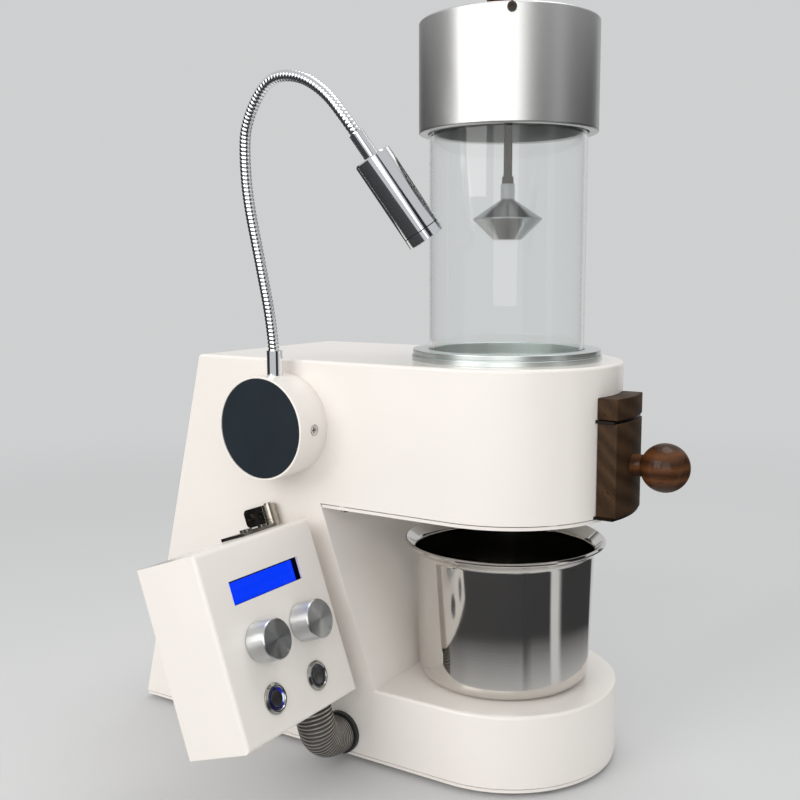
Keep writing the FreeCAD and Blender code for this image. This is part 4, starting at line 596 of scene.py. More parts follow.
@finish
def bezel_chrome(recipe, colours):
    """Chrome of the lamp's bezel, painted near black and dull from the groove behind it to its back end, as
    painted shade.
    """
    out = middle("lamp_bezel") - middle("lamp_head")
    along = recipe.part(recipe.place((1, 1, 1), middle("lamp_bezel"), turn_to(out, AXIS_Y)), "Z")
    groove, fade = -2.65 * MM, 0.1 * MM
    # painted shade: behind the groove the colour is near black and the metal dull
    unshaded = recipe.span(along, groove - fade, groove)
    recipe.set({
        "Base Color": recipe.blend(unshaded, (0.02, 0.02, 0.02), colours.chrome),
        "Metallic": recipe.span(unshaded, 0, 1, 0.2, 1.0), "Roughness": wiped(recipe),
    })


@finish
def mirror_steel(recipe, colours):
    """Polished drawn steel: buffing lines that run round the wall and small smears."""
    buffed = recipe.noise(recipe.place((6, 6, 900)), 1, 3, 0.6)
    smear = recipe.noise(recipe.place((30, 30, 14)), 1, 4, 0.6)
    recipe.set({
        "Base Color": recipe.tone(smear, 0.35, 0.7, colours.steel, shade(colours.steel, 0.93)),
        "Metallic": 1.0, "Roughness": recipe.span(smear, 0.35, 0.75, 0.045, 0.12),
        "Normal": recipe.bump(buffed, 0.035, 0.0002),
    })


@finish
def clear_glass(recipe, colours):
    """Borosilicate tube: clear, with a faint haze of handling."""
    haze = recipe.noise(recipe.place((14, 14, 9)), 1, 4, 0.6)
    recipe.set({
        "Base Color": (0.975, 0.99, 0.985), "Transmission Weight": 1.0, "IOR": 1.47,
        "Roughness": recipe.span(haze, 0.45, 0.8, 0.0, 0.035),
    })
    recipe.lamps_pass()


@finish
def lens_glass(recipe, colours):
    """Lamp lens: clear front over a pale, faceted diffuser."""
    cells = recipe.add("TexVoronoi", {"Vector": recipe.place(), "Scale": 420.0}, feature="DISTANCE_TO_EDGE")
    recipe.set({
        "Base Color": (0.93, 0.94, 0.92), "Roughness": 0.12, "Coat Weight": 1.0, "Coat Roughness": 0.02,
        "Subsurface Weight": 0.15, "Subsurface Scale": 0.001,
        "Normal": recipe.bump(cells.outputs["Distance"], 0.35, 0.0006),
    })


def wood(recipe, base, grain, side, at, bands, contrast, coat):
    """Growth bands across the grain bent by slow noise, fibres drawn out along it, and dark pores."""
    turn = turn_to(grain, side)
    bend = recipe.noise(recipe.place((16, 16, 5), at, turn), 1, 3, 0.55)
    across = recipe.part(recipe.place((1, 1, 1), at, turn), "X")
    wave = recipe.maths("ADD", recipe.maths("MULTIPLY", across, bands), recipe.maths("MULTIPLY", bend, 5.5))
    band = recipe.maths("PINGPONG", wave, 1.0)
    fibre = recipe.noise(recipe.place((900, 900, 26), at, turn), 1, 4, 0.6)
    pore = recipe.span(recipe.noise(recipe.place((1500, 1500, 60), at, turn), 1, 1), 0.63, 0.72)
    slow = recipe.noise(recipe.place((40, 40, 9), at, turn), 1, 4, 0.6)
    tone = recipe.tone(band, 0.15, 0.95, shade(base, 1 - 0.55 * contrast), shade(base, 1 + contrast))
    tone = recipe.blend(recipe.span(slow, 0.35, 0.65, 0, 0.4), tone, shade(base, 0.7))
    tone = recipe.blend(recipe.span(fibre, 0.3, 0.7, 0, 0.4), tone, shade(base, 1.6))
    tone = recipe.blend(recipe.maths("MULTIPLY", pore, 0.7), tone, shade(base, 0.22))
    height = recipe.maths("SUBTRACT", recipe.maths("MULTIPLY", fibre, 0.5), pore)
    recipe.set({
        "Base Color": tone, "Roughness": recipe.span(fibre, 0.3, 0.7, 0.46, 0.62),
        "Normal": recipe.bump(height, 0.28, 0.00012),
        "Coat Weight": coat, "Coat Roughness": 0.09, "Specular IOR Level": 0.15,
    })


@finish
def walnut(recipe, colours):
    """Oiled walnut, its grain slanting down towards the front."""
    wood(recipe, colours.walnut, (1, 0.25, -1), AXIS_Z, (0.08, 0, 0.2), 230, 0.6, 0.0)


@finish
def ball_wood(recipe, colours):
    """Polished reddish wood, its grain along the gate knob's neck."""
    wood(recipe, colours.ball, (1, 0.08, 0.05), AXIS_Z, (0.1, 0, 0.2), 260, 1.1, 0.25)


@finish
def top_ball_wood(recipe, colours):
    """The same wood with its grain along the top knob's neck."""
    wood(recipe, colours.ball, (0.06, 0.1, 1), AXIS_X, (0, 0, 0.49), 260, 1.1, 0.25)


@finish
def lamp_cover(recipe, colours):
    """Dark satin anodised disc with slow, faint clouds."""
    cloud = recipe.noise(recipe.place((38, 38, 26)), 1, 3)
    grain = recipe.noise(recipe.place(), 2600, 2)
    recipe.set({
        "Base Color": recipe.tone(cloud, 0.35, 0.65, colours.cover, shade(colours.cover, 0.82)),
        "Roughness": recipe.span(grain, 0.3, 0.7, 0.40, 0.50), "Normal": recipe.bump(grain, 0.06, 0.0001),
        "Specular IOR Level": 0.3,
    })


@finish
def display_face(recipe, colours):
    """Lit display: even blue light with the faint grid of its character cells, black beyond its edges."""
    place = recipe.place((1, 1, 1), middle("lcd_screen"), BOX_TURN)
    split = recipe.add("SeparateXYZ", {0: place})
    lines = []
    for axis, pitch in (("Y", 3.55 * MM), ("X", 5.95 * MM)):
        share = recipe.maths("FRACT", recipe.maths("DIVIDE", split.outputs[axis], pitch))
        edge = recipe.maths("ABSOLUTE", recipe.maths("SUBTRACT", share, 0.5))
        lines.append(recipe.span(edge, 0.40, 0.44))
    gap = recipe.maths("MAXIMUM", *lines)
    glow = recipe.blend(recipe.maths("MULTIPLY", gap, 0.16), colours.display, (0.0, 0.02, 0.45))
    top, left, fade = 6.0 * MM, -29.6 * MM, 0.2 * MM
    lit = recipe.maths("MULTIPLY", recipe.span(split.outputs["X"], top, top - fade),
                       recipe.span(split.outputs["Y"], left, left + fade))
    glow = recipe.blend(lit, (0.0, 0.0, 0.004), glow)
    recipe.set({
        "Base Color": shade(colours.display, 0.02), "Roughness": 0.25, "Specular IOR Level": 0.15,
        "Emission Color": glow, "Emission Strength": 1.0,
    })


@finish
def window_black(recipe, colours):
    """Dull black frame inside the display's window."""
    grain = recipe.noise(recipe.place(), 2400, 2)
    recipe.set({"Base Color": recipe.blend(grain, (0.002, 0.002, 0.003), (0.005, 0.005, 0.007)),
                "Roughness": 0.85, "Specular IOR Level": 0.05})


@finish
def black_plastic(recipe, colours):
    """Moulded plastic with a fine spark-eroded texture."""
    grain = recipe.noise(recipe.place(), 2400, 3, 0.6)
    recipe.set({"Base Color": recipe.tone(grain, 0.3, 0.7, (0.014, 0.014, 0.016), (0.024, 0.024, 0.026)),
                "Roughness": recipe.span(grain, 0.3, 0.7, 0.38, 0.55),
                "Normal": recipe.bump(grain, 0.18, 0.00015)})


@finish
def button_steel(recipe, colours):
    """Polished nickel of the push buttons."""
    worn = recipe.noise(recipe.place(), 300, 3)
    recipe.set({"Base Color": (0.44, 0.44, 0.425), "Metallic": 1.0,
                "Roughness": recipe.span(worn, 0.3, 0.7, 0.07, 0.17)})


@finish
def button_face(recipe, colours):
    """Dark brushed face of a push button."""
    brushed = recipe.lines(recipe.profile_length(), 9000)
    recipe.set({"Base Color": recipe.tone(brushed, 0.3, 0.7, (0.11, 0.11, 0.115), (0.19, 0.19, 0.195)),
                "Metallic": 1.0, "Roughness": 0.30, "Anisotropic": 0.6, "Anisotropic Rotation": 0.25,
                "Tangent": recipe.around(),
                "Normal": recipe.bump(brushed, 0.1, 0.00008)})


@finish
def lit_ring(recipe, colours):
    """Light ring, brighter towards the side of its lamp, which shows as a small glare."""
    place = recipe.place((1, 1, 1), middle("left_button_plunger"), BOX_TURN)
    split = recipe.add("SeparateXYZ", {0: place})
    across = split.outputs["Y"]
    share = recipe.maths("POWER", recipe.span(across, 1 * MM, -6.2 * MM), 2.5)
    away = recipe.maths("ABSOLUTE", recipe.maths("ADD", split.outputs["X"], 0.8 * MM))
    glare = recipe.maths("MULTIPLY", recipe.span(away, 3.0 * MM, 1.6 * MM),
                         recipe.span(across, -3.4 * MM, -4.4 * MM))
    glow = recipe.blend(share, (0.0, 0.0, 0.006), shade(colours.light_ring, 0.75))
    recipe.set({"Base Color": shade(colours.light_ring, 0.06), "Roughness": 0.22,
                "Coat Weight": 0.6, "Coat Roughness": 0.05,
                "Emission Color": recipe.blend(glare, glow, (0.75, 0.85, 1.0)), "Emission Strength": 1.0})


@finish
def dark_ring(recipe, colours):
    """Light ring that isn't lit: smoky clear plastic."""
    grain = recipe.noise(recipe.place(), 800, 2)
    recipe.set({"Base Color": recipe.blend(grain, (0.012, 0.012, 0.02), (0.02, 0.02, 0.03)),
                "Roughness": 0.15, "Coat Weight": 0.6, "Coat Roughness": 0.05})


@finish
def dark_nickel(recipe, colours):
    """Hinge: dark bright plating, rubbed along its edges, and a lighter tan colour on the knuckles, close to
    the pin.
    """
    rubbed = recipe.noise(recipe.place((160, 160, 160)), 1, 4, 0.65)
    swing = JOINTS["control_box_swing"]
    from_pin = recipe.place((1, 1, 0), Vector(swing["pos_m"]), turn_to(swing["axis"], AXIS_Y))
    distance = recipe.add("VectorMath", {0: from_pin}, operation="LENGTH").outputs["Value"]
    plated = recipe.tone(rubbed, 0.45, 0.75, colours.nickel, shade(colours.nickel, 2.2))
    recipe.set({"Base Color": recipe.tone(distance, 5.2 * MM, 4.5 * MM, plated, (0.46, 0.42, 0.36)),
                "Metallic": 1.0, "Roughness": recipe.span(rubbed, 0.3, 0.7, 0.16, 0.26),
                "Normal": recipe.bump(rubbed, 0.05, 0.0002)})


@finish
def screw_steel(recipe, colours):
    """Small screws: bright plating with turning marks."""
    mark = recipe.noise(recipe.place(), 1400, 3)
    recipe.set({"Base Color": recipe.tone(mark, 0.3, 0.7, (0.42, 0.41, 0.39), (0.60, 0.59, 0.57)),
                "Metallic": 1.0, "Roughness": recipe.span(mark, 0.3, 0.7, 0.16, 0.26)})


@finish
def conduit_steel(recipe, colours):
    """Galvanised strip on the ribs' crowns, and painted shade in the grooves between them: a dark, dull
    colour.

    The crown is the sine of the length along the route, whose half wave is one rib.
    """
    turns = math.pi / bpy.context.scene.roaster_sizes.conduit_pitch
    phase = recipe.maths("MULTIPLY", recipe.profile_length(), turns)
    crown = recipe.span(recipe.maths("ABSOLUTE", recipe.maths("SINE", phase)), 0.76, 1.0)
    strip = recipe.blend(recipe.cells(260.0), shade(colours.conduit, 0.85), shade(colours.conduit, 1.12))
    # painted shade: the grooves get 0.16 of the conduit colour and less metal, the crowns keep the strip's
    # colour
    recipe.set({"Base Color": recipe.blend(crown, shade(colours.conduit, 0.16), strip),
                "Metallic": recipe.span(crown, 0, 1, 0.3, 1.0),
                "Roughness": recipe.span(crown, 0, 1, 0.6, 0.30)})


@finish
def galvanised_sheet(recipe, colours):
    """Spangled zinc on the hidden ducts."""
    value = recipe.cells(90.0)
    recipe.set({"Base Color": recipe.blend(value, (0.42, 0.43, 0.44), (0.58, 0.59, 0.60)),
                "Metallic": 1.0, "Roughness": recipe.span(value, 0, 1, 0.3, 0.5)})


@finish
def heated_steel(recipe, colours):
    """Gate and funnel: steel tinted straw and brown by the hot air."""
    tint = recipe.noise(recipe.place(), 28, 4, 0.6)
    brushed = recipe.noise(recipe.place((40, 900, 900)), 1, 3)
    recipe.set({"Base Color": recipe.tone(tint, 0.35, 0.7, (0.40, 0.38, 0.35), (0.26, 0.19, 0.12)),
                "Metallic": 1.0, "Roughness": recipe.span(brushed, 0.3, 0.7, 0.25, 0.42),
                "Normal": recipe.bump(brushed, 0.08, 0.0001)})


@finish
def blued_steel(recipe, colours):
    """Gate's blades, browned and blued by the heat."""
    tint = recipe.noise(recipe.place(), 40, 4, 0.6)
    brushed = recipe.noise(recipe.place((40, 900, 900)), 1, 3)
    recipe.set({"Base Color": recipe.tone(tint, 0.35, 0.7, (0.030, 0.028, 0.026), (0.050, 0.036, 0.026)),
                "Metallic": 1.0, "Roughness": recipe.span(brushed, 0.3, 0.7, 0.30, 0.45),
                "Normal": recipe.bump(brushed, 0.08, 0.0001)})


@finish
def rubber(recipe, colours):
    """Moulded rubber feet, dusty where they are handled."""
    dust = recipe.noise(recipe.place(), 220, 4, 0.6)
    recipe.set({"Base Color": recipe.tone(dust, 0.45, 0.8, (0.012, 0.012, 0.012), (0.04, 0.038, 0.036)),
                "Roughness": recipe.span(dust, 0.3, 0.7, 0.62, 0.80),
                "Normal": recipe.bump(dust, 0.2, 0.0002)})


@finish
def silicone(recipe, colours):
    """Milky seal under the glass."""
    cloud = recipe.noise(recipe.place(), 60, 3)
    recipe.set({"Base Color": recipe.blend(cloud, (0.66, 0.64, 0.60), (0.74, 0.72, 0.69)), "Roughness": 0.45,
                "Subsurface Weight": 0.2, "Subsurface Scale": 0.002})


@finish
def mica(recipe, colours):
    """Heater former: flaky mica, darker where the wire touches it."""
    value = recipe.cells(500.0)
    recipe.set({"Base Color": recipe.blend(value, (0.30, 0.25, 0.17), (0.52, 0.46, 0.34)),
                "Roughness": recipe.span(value, 0, 1, 0.25, 0.5)})


@finish
def motor_can(recipe, colours):
    """Drawn steel can of the motor."""
    drawn = recipe.noise(recipe.place((500, 20, 500)), 1, 3)
    recipe.set({"Base Color": recipe.blend(drawn, (0.34, 0.34, 0.35), (0.46, 0.46, 0.47)), "Metallic": 1.0,
                "Roughness": recipe.span(drawn, 0.3, 0.7, 0.3, 0.45)})


@finish
def board(recipe, colours):
    """Circuit board: green lacquer below, dark moulded parts above it."""
    height = recipe.part(recipe.place(), "Z")
    top = low("power_board").z + 10.7 * MM
    weave = recipe.noise(recipe.place((900, 900, 300)), 1, 2)
    lacquer = recipe.blend(weave, (0.012, 0.10, 0.035), (0.02, 0.15, 0.05))
    parts = recipe.maths("GREATER_THAN", height, top)
    recipe.set({"Base Color": recipe.blend(parts, lacquer, (0.03, 0.035, 0.05)),
                "Roughness": recipe.span(weave, 0.3, 0.7, 0.28, 0.42)})


# ---------------------------------------------------------------- pieces


class ROASTER_OT_stand(bpy.types.Operator):
    """Finish the stand's sheet-metal shells, its feet, screws and mains inlet"""

    bl_idname = "roaster.stand"
    bl_label = "Stand"

    def execute(self, context):
        dress(gloss_paint(), "casing", "arm_bottom_plate", "base_bottom_plate", "rear_cover")
        dress(rubber(), "feet")
        dress(screw_steel(), "casing_screws")
        dress(black_plastic(), "power_inlet")
        return {"FINISHED"}


class ROASTER_OT_insides(bpy.types.Operator):
    """Finish what the casing hides: heater, ducts, blower, boards and the bean path"""

    bl_idname = "roaster.insides"
    bl_label = "Insides"

    def execute(self, context):
        dress(galvanised_sheet(), "heater_housing", "air_duct", "potentiometers", "thermocouple")
        dress(mica(), "heater_coil")
        dress(black_plastic(), "blower_housing", "blower_wheel")
        dress(motor_can(), "blower_motor")
        dress(board(), "power_board")
        dress(heated_steel(), "bean_funnel", "air_chamber")
        dress(blued_steel(), "discharge_gate")
        return {"FINISHED"}


class ROASTER_OT_chamber(bpy.types.Operator):
    """Turned glass seat with its groove, the seal and the glass tube"""

    bl_idname = "roaster.chamber"
    bl_label = "Glass chamber"

    def execute(self, context):
        seat_low, seat_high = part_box("glass_seat_ring")
        body_top = high("casing").z
        outer = seat_high.x
        upper = outer - 0.75 * MM
        waist = upper - 0.8 * MM
        spigot = 53 * MM
        glass = high("glass_tube").x
        bore = glass - context.scene.roaster_sizes.glass_wall
        recess = glass + 0.4 * MM
        floor = low("glass_gasket").z
        groove = body_top + 3.3 * MM
        groove_top = groove + 0.6 * MM
        top = seat_high.z
        corners = [(bore, seat_low.z), (spigot, seat_low.z), (spigot, body_top), (outer, body_top),
                   (outer, groove), (waist, groove), (waist, groove_top), (upper, groove_top), (upper, top),
                   (recess, top), (recess, floor), (bore, floor)]
        rounds = [0, 0, 0, 0.2 * MM, 0.5 * MM, 0, 0, 0.25 * MM, 0.6 * MM, 0.3 * MM, 0, 0]
        Shape().turned(corners, rounds, (0, 0, 0), UPRIGHT, closed=True, around=192).piece(
            "glass_seat", seat_aluminium(), "stand", ["glass_seat_ring"], "seat_aluminium")
        dress(silicone(), "glass_gasket")
        bottom, rim = low("glass_tube").z, high("glass_tube").z
        corners = [(bore, bottom), (glass, bottom), (glass, rim), (bore, rim)]
        Shape().turned(corners, [0.4 * MM, 0.4 * MM, 1.2 * MM, 1.2 * MM], (0, 0, 0), UPRIGHT, closed=True,
                       around=224).piece("glass", clear_glass(), "glass", ["glass_tube"], "clear_glass")
        return {"FINISHED"}


class ROASTER_OT_cap(bpy.types.Operator):
    """Chamber cap: bead-blasted shell, pierced screen, and the wooden knob on top"""

    bl_idname = "roaster.cap"
    bl_label = "Chamber cap"

    def execute(self, context):
        edge = context.scene.roaster_sizes.cap_edge
        glass = high("glass_tube")
        bore = glass.x + 0.6 * MM
        outer = high("cap_shell").x
        bottom, top = low("cap_shell").z, high("cap_shell").z
        screen = high("cap_screen").x + 0.1 * MM
        screen_low = low("cap_screen").z
        ledge = glass.x - context.scene.roaster_sizes.glass_wall - 0.5 * MM
        lip, roof = screen - 2 * MM, glass.z + 3 * MM
        corners = [(bore, bottom), (outer, bottom), (outer, top), (screen, top), (screen, screen_low),
                   (lip, screen_low), (lip, roof), (ledge, roof), (ledge, glass.z), (bore, glass.z)]
        rounds = [0.9 * MM, edge, edge, 0.3 * MM, 0, 0.3 * MM, 0, 0.5 * MM, 0.2 * MM, 0]
        Shape().turned(corners, rounds, (0, 0, 0), UPRIGHT, closed=True, around=224).piece(
            "cap_body", blasted_aluminium(), "chamber_cap", ["cap_shell"], "cap_aluminium")
        dress(blasted_aluminium(), "cap_screen")
        dress(blued_steel(), "cap_screws")
        ball = high("cap_top_knob").x
        centre = high("cap_top_knob").z - ball
        ball_knob("top_ball", top_ball_wood(), "chamber_cap", "cap_top_knob", (0, 0, centre), UPRIGHT, ball,
                  centre - low("cap_top_knob").z)
        return {"FINISHED"}


def ball_knob(name, wooden, body, node, centre, turn, radius, reach):
    """Sphere and neck on one axis, joined by a small hollow, with the neck's end a distance behind.

    The sphere meets the hollow at the angle from the axis whose sine is (neck + hollow) over
    (radius + hollow), on the line between the two circles' centres.
    """
    neck = 6.8 * MM
    hollow = 1.2 * MM
    meet = math.asin((neck + hollow) / (radius + hollow))
    back = -math.cos(meet) * (radius + hollow)
    ball = arc_points(radius, math.pi / 2, meet - math.pi / 2, 56)
    fillet = arc_points(hollow, math.pi / 2 + meet, math.pi, 8)
    fillet = np.stack([fillet[:, 0] + neck + hollow, fillet[:, 1] + back], 1)
    end = [(neck, back - 0.2 * MM), (neck, -reach + 0.6 * MM), (neck - 0.4 * MM, -reach), (0, -reach)]
    profile = np.vstack([ball, fillet, end])
    profile[0, 0] = 0
    shape = Shape().turned(profile, [0] * len(profile), centre, turn, around=96)
    return shape.piece(name, wooden, body, [node], "ball_wood")


class ROASTER_OT_deflector(bpy.types.Operator):
    """Double cone with its boss, hung from the cap on a rod with a collar"""

    bl_idname = "roaster.deflector"
    bl_label = "Deflector"

    def execute(self, context):
        foot, top = low("deflector_cone").z, high("deflector_cone").z
        wide = high("deflector_cone").x
        rise, fall = 11.8 * MM, 13.4 * MM
        tip, boss, bore = 9 * MM, 4.5 * MM, 2.8 * MM
        edge, shoulder = foot + fall, foot + fall + rise
        deep = edge - 2 * MM
        corners = [(0, foot), (tip, foot), (wide, edge - 0.8 * MM), (wide, edge), (boss, shoulder),
                   (boss, top), (bore, top), (bore, deep), (0, deep)]
        rounds = [0, 0.8 * MM, 0.25 * MM, 0.25 * MM, 1.6 * MM, 0.4 * MM, 0, 0, 0]
        Shape().turned(corners, rounds, (0, 0, 0), UPRIGHT).piece(
            "deflector", spun_aluminium(), "chamber_cap", ["deflector_cone"], "spun_aluminium")
        dress(rod_steel(), "deflector_rod")
        return {"FINISHED"}


class ROASTER_OT_nose(bpy.types.Operator):
    """Wooden blocks that follow the round nose, and the gate's ball knob"""

    bl_idname = "roaster.nose"
    bl_label = "Wooden nose"

    def execute(self, context):
        edge = context.scene.roaster_sizes.wood_edge
        nose, gap = 75 * MM, 0.3 * MM
        for name, node, body, inner in (("upper_wood", "upper_wood_block", "stand", nose),
                                        ("gate_wood", "gate_wood_block", "gate", nose + gap)):
            bottom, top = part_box(node)
            Shape().prism(nose_outline(inner, top.x, top.y, edge), bottom.z, top.z, edge).piece(
                name, walnut(), body, [node], "walnut")
        knob_high = high("ball_knob")
        radius = knob_high.y
        centre = Vector((knob_high.x - radius, 0, middle("ball_knob").z))
        ball_knob("gate_ball", ball_wood(), "gate", "ball_knob", centre, turn_to(AXIS_X, AXIS_Z), radius,
                  centre.x - high("gate_wood_block").x + 0.8 * MM)
        return {"FINISHED"}


def nose_outline(inner, outer, half, edge):
    """Plan of a block between two circles about the origin, cut off at two sides, with rounded corners.

    The circles' angles at a side are the arc sines of half the width over the radius.
    """
    inner_turn = math.asin((half - edge) / inner)
    outer_turn = math.asin((half - edge) / outer)
    front = arc_points(outer, -outer_turn, outer_turn, 40)
    back = arc_points(inner, inner_turn, -inner_turn, 40)
    bend = np.linspace(0, math.pi / 2, 5)[1:-1]
    corner = edge * np.stack([np.sin(bend), np.cos(bend)], 1)
    front_side = outer * math.cos(outer_turn) - edge
    back_side = inner * math.cos(inner_turn) + edge
    left_front = np.array([front_side, half - edge]) + corner
    left_back = np.array([back_side, half - edge]) + np.stack([-corner[::-1, 0], corner[::-1, 1]], 1)
    right = np.array([1, -1])
    return np.vstack([front, left_front[::-1], [(front_side, half), (back_side, half)], left_back[::-1], back,
                      left_back * right, [(back_side, -half), (front_side, -half)], left_front * right])


class ROASTER_OT_cup(bpy.types.Operator):
    """Finish the polished steel cup"""

    bl_idname = "roaster.cup"
    bl_label = "Cup"

    def execute(self, context):
        dress(mirror_steel(), "cup")
        return {"FINISHED"}


class ROASTER_OT_lamp_base(bpy.types.Operator):
    """Finish the round lamp base, its dark disc, set screw and ferrule"""

    bl_idname = "roaster.lamp_base"
    bl_label = "Lamp base"

    def execute(self, context):
        dress(gloss_paint(), "lamp_base_housing")
        dress(lamp_cover(), "lamp_base_cover")
        dress(chrome(), "lamp_ferrule")
        head_low, head_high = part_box("lamp_set_screw")
        length = head_high.x - head_low.x
        shank, rim = 2.5 * MM, 3.9 * MM
        half_slot, slot_depth, slot_reach = 0.4 * MM, 1.1 * MM, 1.75 * MM
        rings = [(step * 0.15 * MM, 0) for step in range(12, 0, -1)]
        corners = [(0, -length), (shank, -length), (shank, -0.2 * MM), (rim, 0.4 * MM),
                   (rim - 0.3 * MM, 0.7 * MM), (shank - 0.2 * MM, 0.1 * MM), (shank - 0.5 * MM, 0)]
        corners += rings + [(0, 0)]
        rounds = [0, 0, 0, 0.15 * MM, 0.15 * MM, 0.1 * MM, 0] + [0] * (len(rings) + 1)

        def cross(angle, distance, height):
            """Two slots at right angles, cut in the middle of the head."""
            along, aside = np.cos(angle) * distance, np.sin(angle) * distance
            slot = np.minimum(np.abs(along), np.abs(aside)) < half_slot
            return -slot_depth * (slot & (distance < slot_reach) & (height > -0.5 * MM))

        place = Vector((head_high.x, middle("lamp_set_screw").y, middle("lamp_set_screw").z))
        Shape().turned(corners, rounds, place, turn_to(AXIS_X, AXIS_Z), around=96, shift=cross).piece(
            "lamp_screw", screw_steel(), "stand", ["lamp_set_screw"], "button_steel")
        return {"FINISHED"}


# control points of the gooseneck's route, from inside the ferrule to inside the lamp's sleeve
NECK_ROUTE = [(-0.1214, -0.0875, 0.2600), (-0.1222, -0.0876, 0.2820), (-0.1305, -0.0890, 0.3260),
              (-0.1374, -0.0915, 0.3650), (-0.1380, -0.0930, 0.3920), (-0.1356, -0.0940, 0.4120),
              (-0.1168, -0.0960, 0.4370), (-0.0908, -0.0985, 0.4366), (-0.0692, -0.1000, 0.4245),
              (-0.0542, -0.0988, 0.4064), (-0.0488, -0.0946, 0.3965)]


class ROASTER_OT_gooseneck(bpy.types.Operator):
    """Coiled gooseneck in three lengths, cut on either side of its upper bend"""

    bl_idname = "roaster.gooseneck"
    bl_label = "Gooseneck"

    def execute(self, context):
        sizes = context.scene.roaster_sizes
        radius = 3.6 * MM
        around = 24
        path, along = route(NECK_ROUTE, sizes.neck_pitch / 8)
        # a coil: turns are the length over the pitch plus the share of the circle, and over each turn
        # the radius follows a half circle that dips by the groove's depth at its ends
        turns = along[:, None] / sizes.neck_pitch + np.arange(around)[None] / around
        crown = np.sqrt(1 - (2 * (turns % 1) - 1) ** 2)
        radii = radius - sizes.neck_depth * (1 - crown)
        base = Vector(JOINTS["neck_base_bend"]["pos_m"])
        bend = Vector(JOINTS["neck_top_bend"]["pos_m"])
        tip = Vector(JOINTS["lamp_head_tilt"]["pos_m"])
        near = [int(np.argmin(np.linalg.norm(path - np.array(point), axis=1))) for point in (base, bend, tip)]
        bend_length = 30 * MM
        reach = int(bend_length / (along[1] - along[0]))
        cuts = [0, near[1] - reach, near[1] + reach // 2, len(path) - 1]
        bodies = [("stand", "neck_lower", near[0], near[0] + reach),
                  ("neck_lower", "neck_upper", near[1] - reach, near[1] + reach // 2),
                  ("neck_upper", "spot_lamp", near[2] - reach, near[2])]
        lengths = zip(cuts, cuts[1:], bodies)
        for number, (first, last, (lower, upper, start, end)) in enumerate(lengths, start=1):
            length = slice(first, last + 1)
            shape = Shape().tube(path[length], radii[length], np.array(AXIS_Y), along[length])
            shape.close_ends(last + 1 - first, around)
            neck = shape.piece(f"gooseneck_{number}", chrome(), slot="chrome_neck", sharp=70)
            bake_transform(neck)
            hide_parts("gooseneck_lower" if number == 1 else "gooseneck_upper")
        return {"FINISHED"}


class ROASTER_OT_lamp_head(bpy.types.Operator):
    """Finish the spot lamp's sleeve, head, bezel and lens"""

    bl_idname = "roaster.lamp_head"
    bl_label = "Lamp head"

    def execute(self, context):
        dress(chrome(), "lamp_neck_sleeve", "lamp_head")
        dress(bezel_chrome(), "lamp_bezel")
        dress(lens_glass(), "lamp_lens")
        return {"FINISHED"}


class ROASTER_OT_control_box(bpy.types.Operator):
    """Finish the control box's shell, back plate, display and glands"""

    bl_idname = "roaster.control_box"
    bl_label = "Control box"

    def execute(self, context):
        dress(gloss_paint(), "control_box_shell", "control_box_back")
        dress(window_black(), "lcd_module")
        dress(black_plastic(), "conduit_box_gland", "conduit_body_gland")
        dress(display_face(), "lcd_screen")
        return {"FINISHED"}


class ROASTER_OT_knobs(bpy.types.Operator):
    """Spun knobs, each with a short mark cut in its face"""

    bl_idname = "roaster.knobs"
    bl_label = "Knobs"

    def execute(self, context):
        sizes = context.scene.roaster_sizes
        radius, off, front = 12 * MM, 0.5 * MM, 14.5 * MM
        recess, recess_top, shaft, shaft_back = 8.5 * MM, 4.5 * MM, 3 * MM, -7.5 * MM
        edge, ring_gap = sizes.knob_edge, 0.3 * MM
        mark_turn, half_mark, mark_start = math.radians(215), 0.45 * MM, 8.6 * MM
        rings = [(step * ring_gap, front) for step in range(1, int((radius - edge) / ring_gap))]
        corners = [(0, shaft_back), (shaft, shaft_back), (shaft, recess_top), (recess, recess_top),
                   (recess, off), (radius, off), (radius, front - edge), (radius - edge, front)]
        corners += rings[::-1] + [(0, front)]
        rounds = [0, 0, 0, 0, 0, 0.4 * MM, 0.15 * MM, 0.15 * MM] + [0] * (len(rings) + 1)

        def mark(angle, distance, height):
            """A short radial cut near the rim: its depth falls with the distance aside from one radius,
            and rises over a short stretch of that radius; only points at the face sink."""
            aside = np.abs(np.sin(angle - mark_turn) * distance) / half_mark
            facing = np.cos(angle - mark_turn) > 0
            reach = np.clip((distance - mark_start) / (0.4 * MM), 0, 1)
            depth = np.clip(1.4 - aside, 0, 1) * reach * facing * (height > front - 1.5 * edge)
            return -sizes.knob_mark * depth

        for side in ("left", "right"):
            centre = Vector(JOINTS[side + "_knob_turn"]["pos_m"])
            Shape().turned(corners, rounds, centre, BOX_TURN, around=320, shift=mark).piece(
                side + "_control_knob", knob_aluminium(), side + "_knob_turner", [side + "_knob"],
                "spun_aluminium")
        return {"FINISHED"}


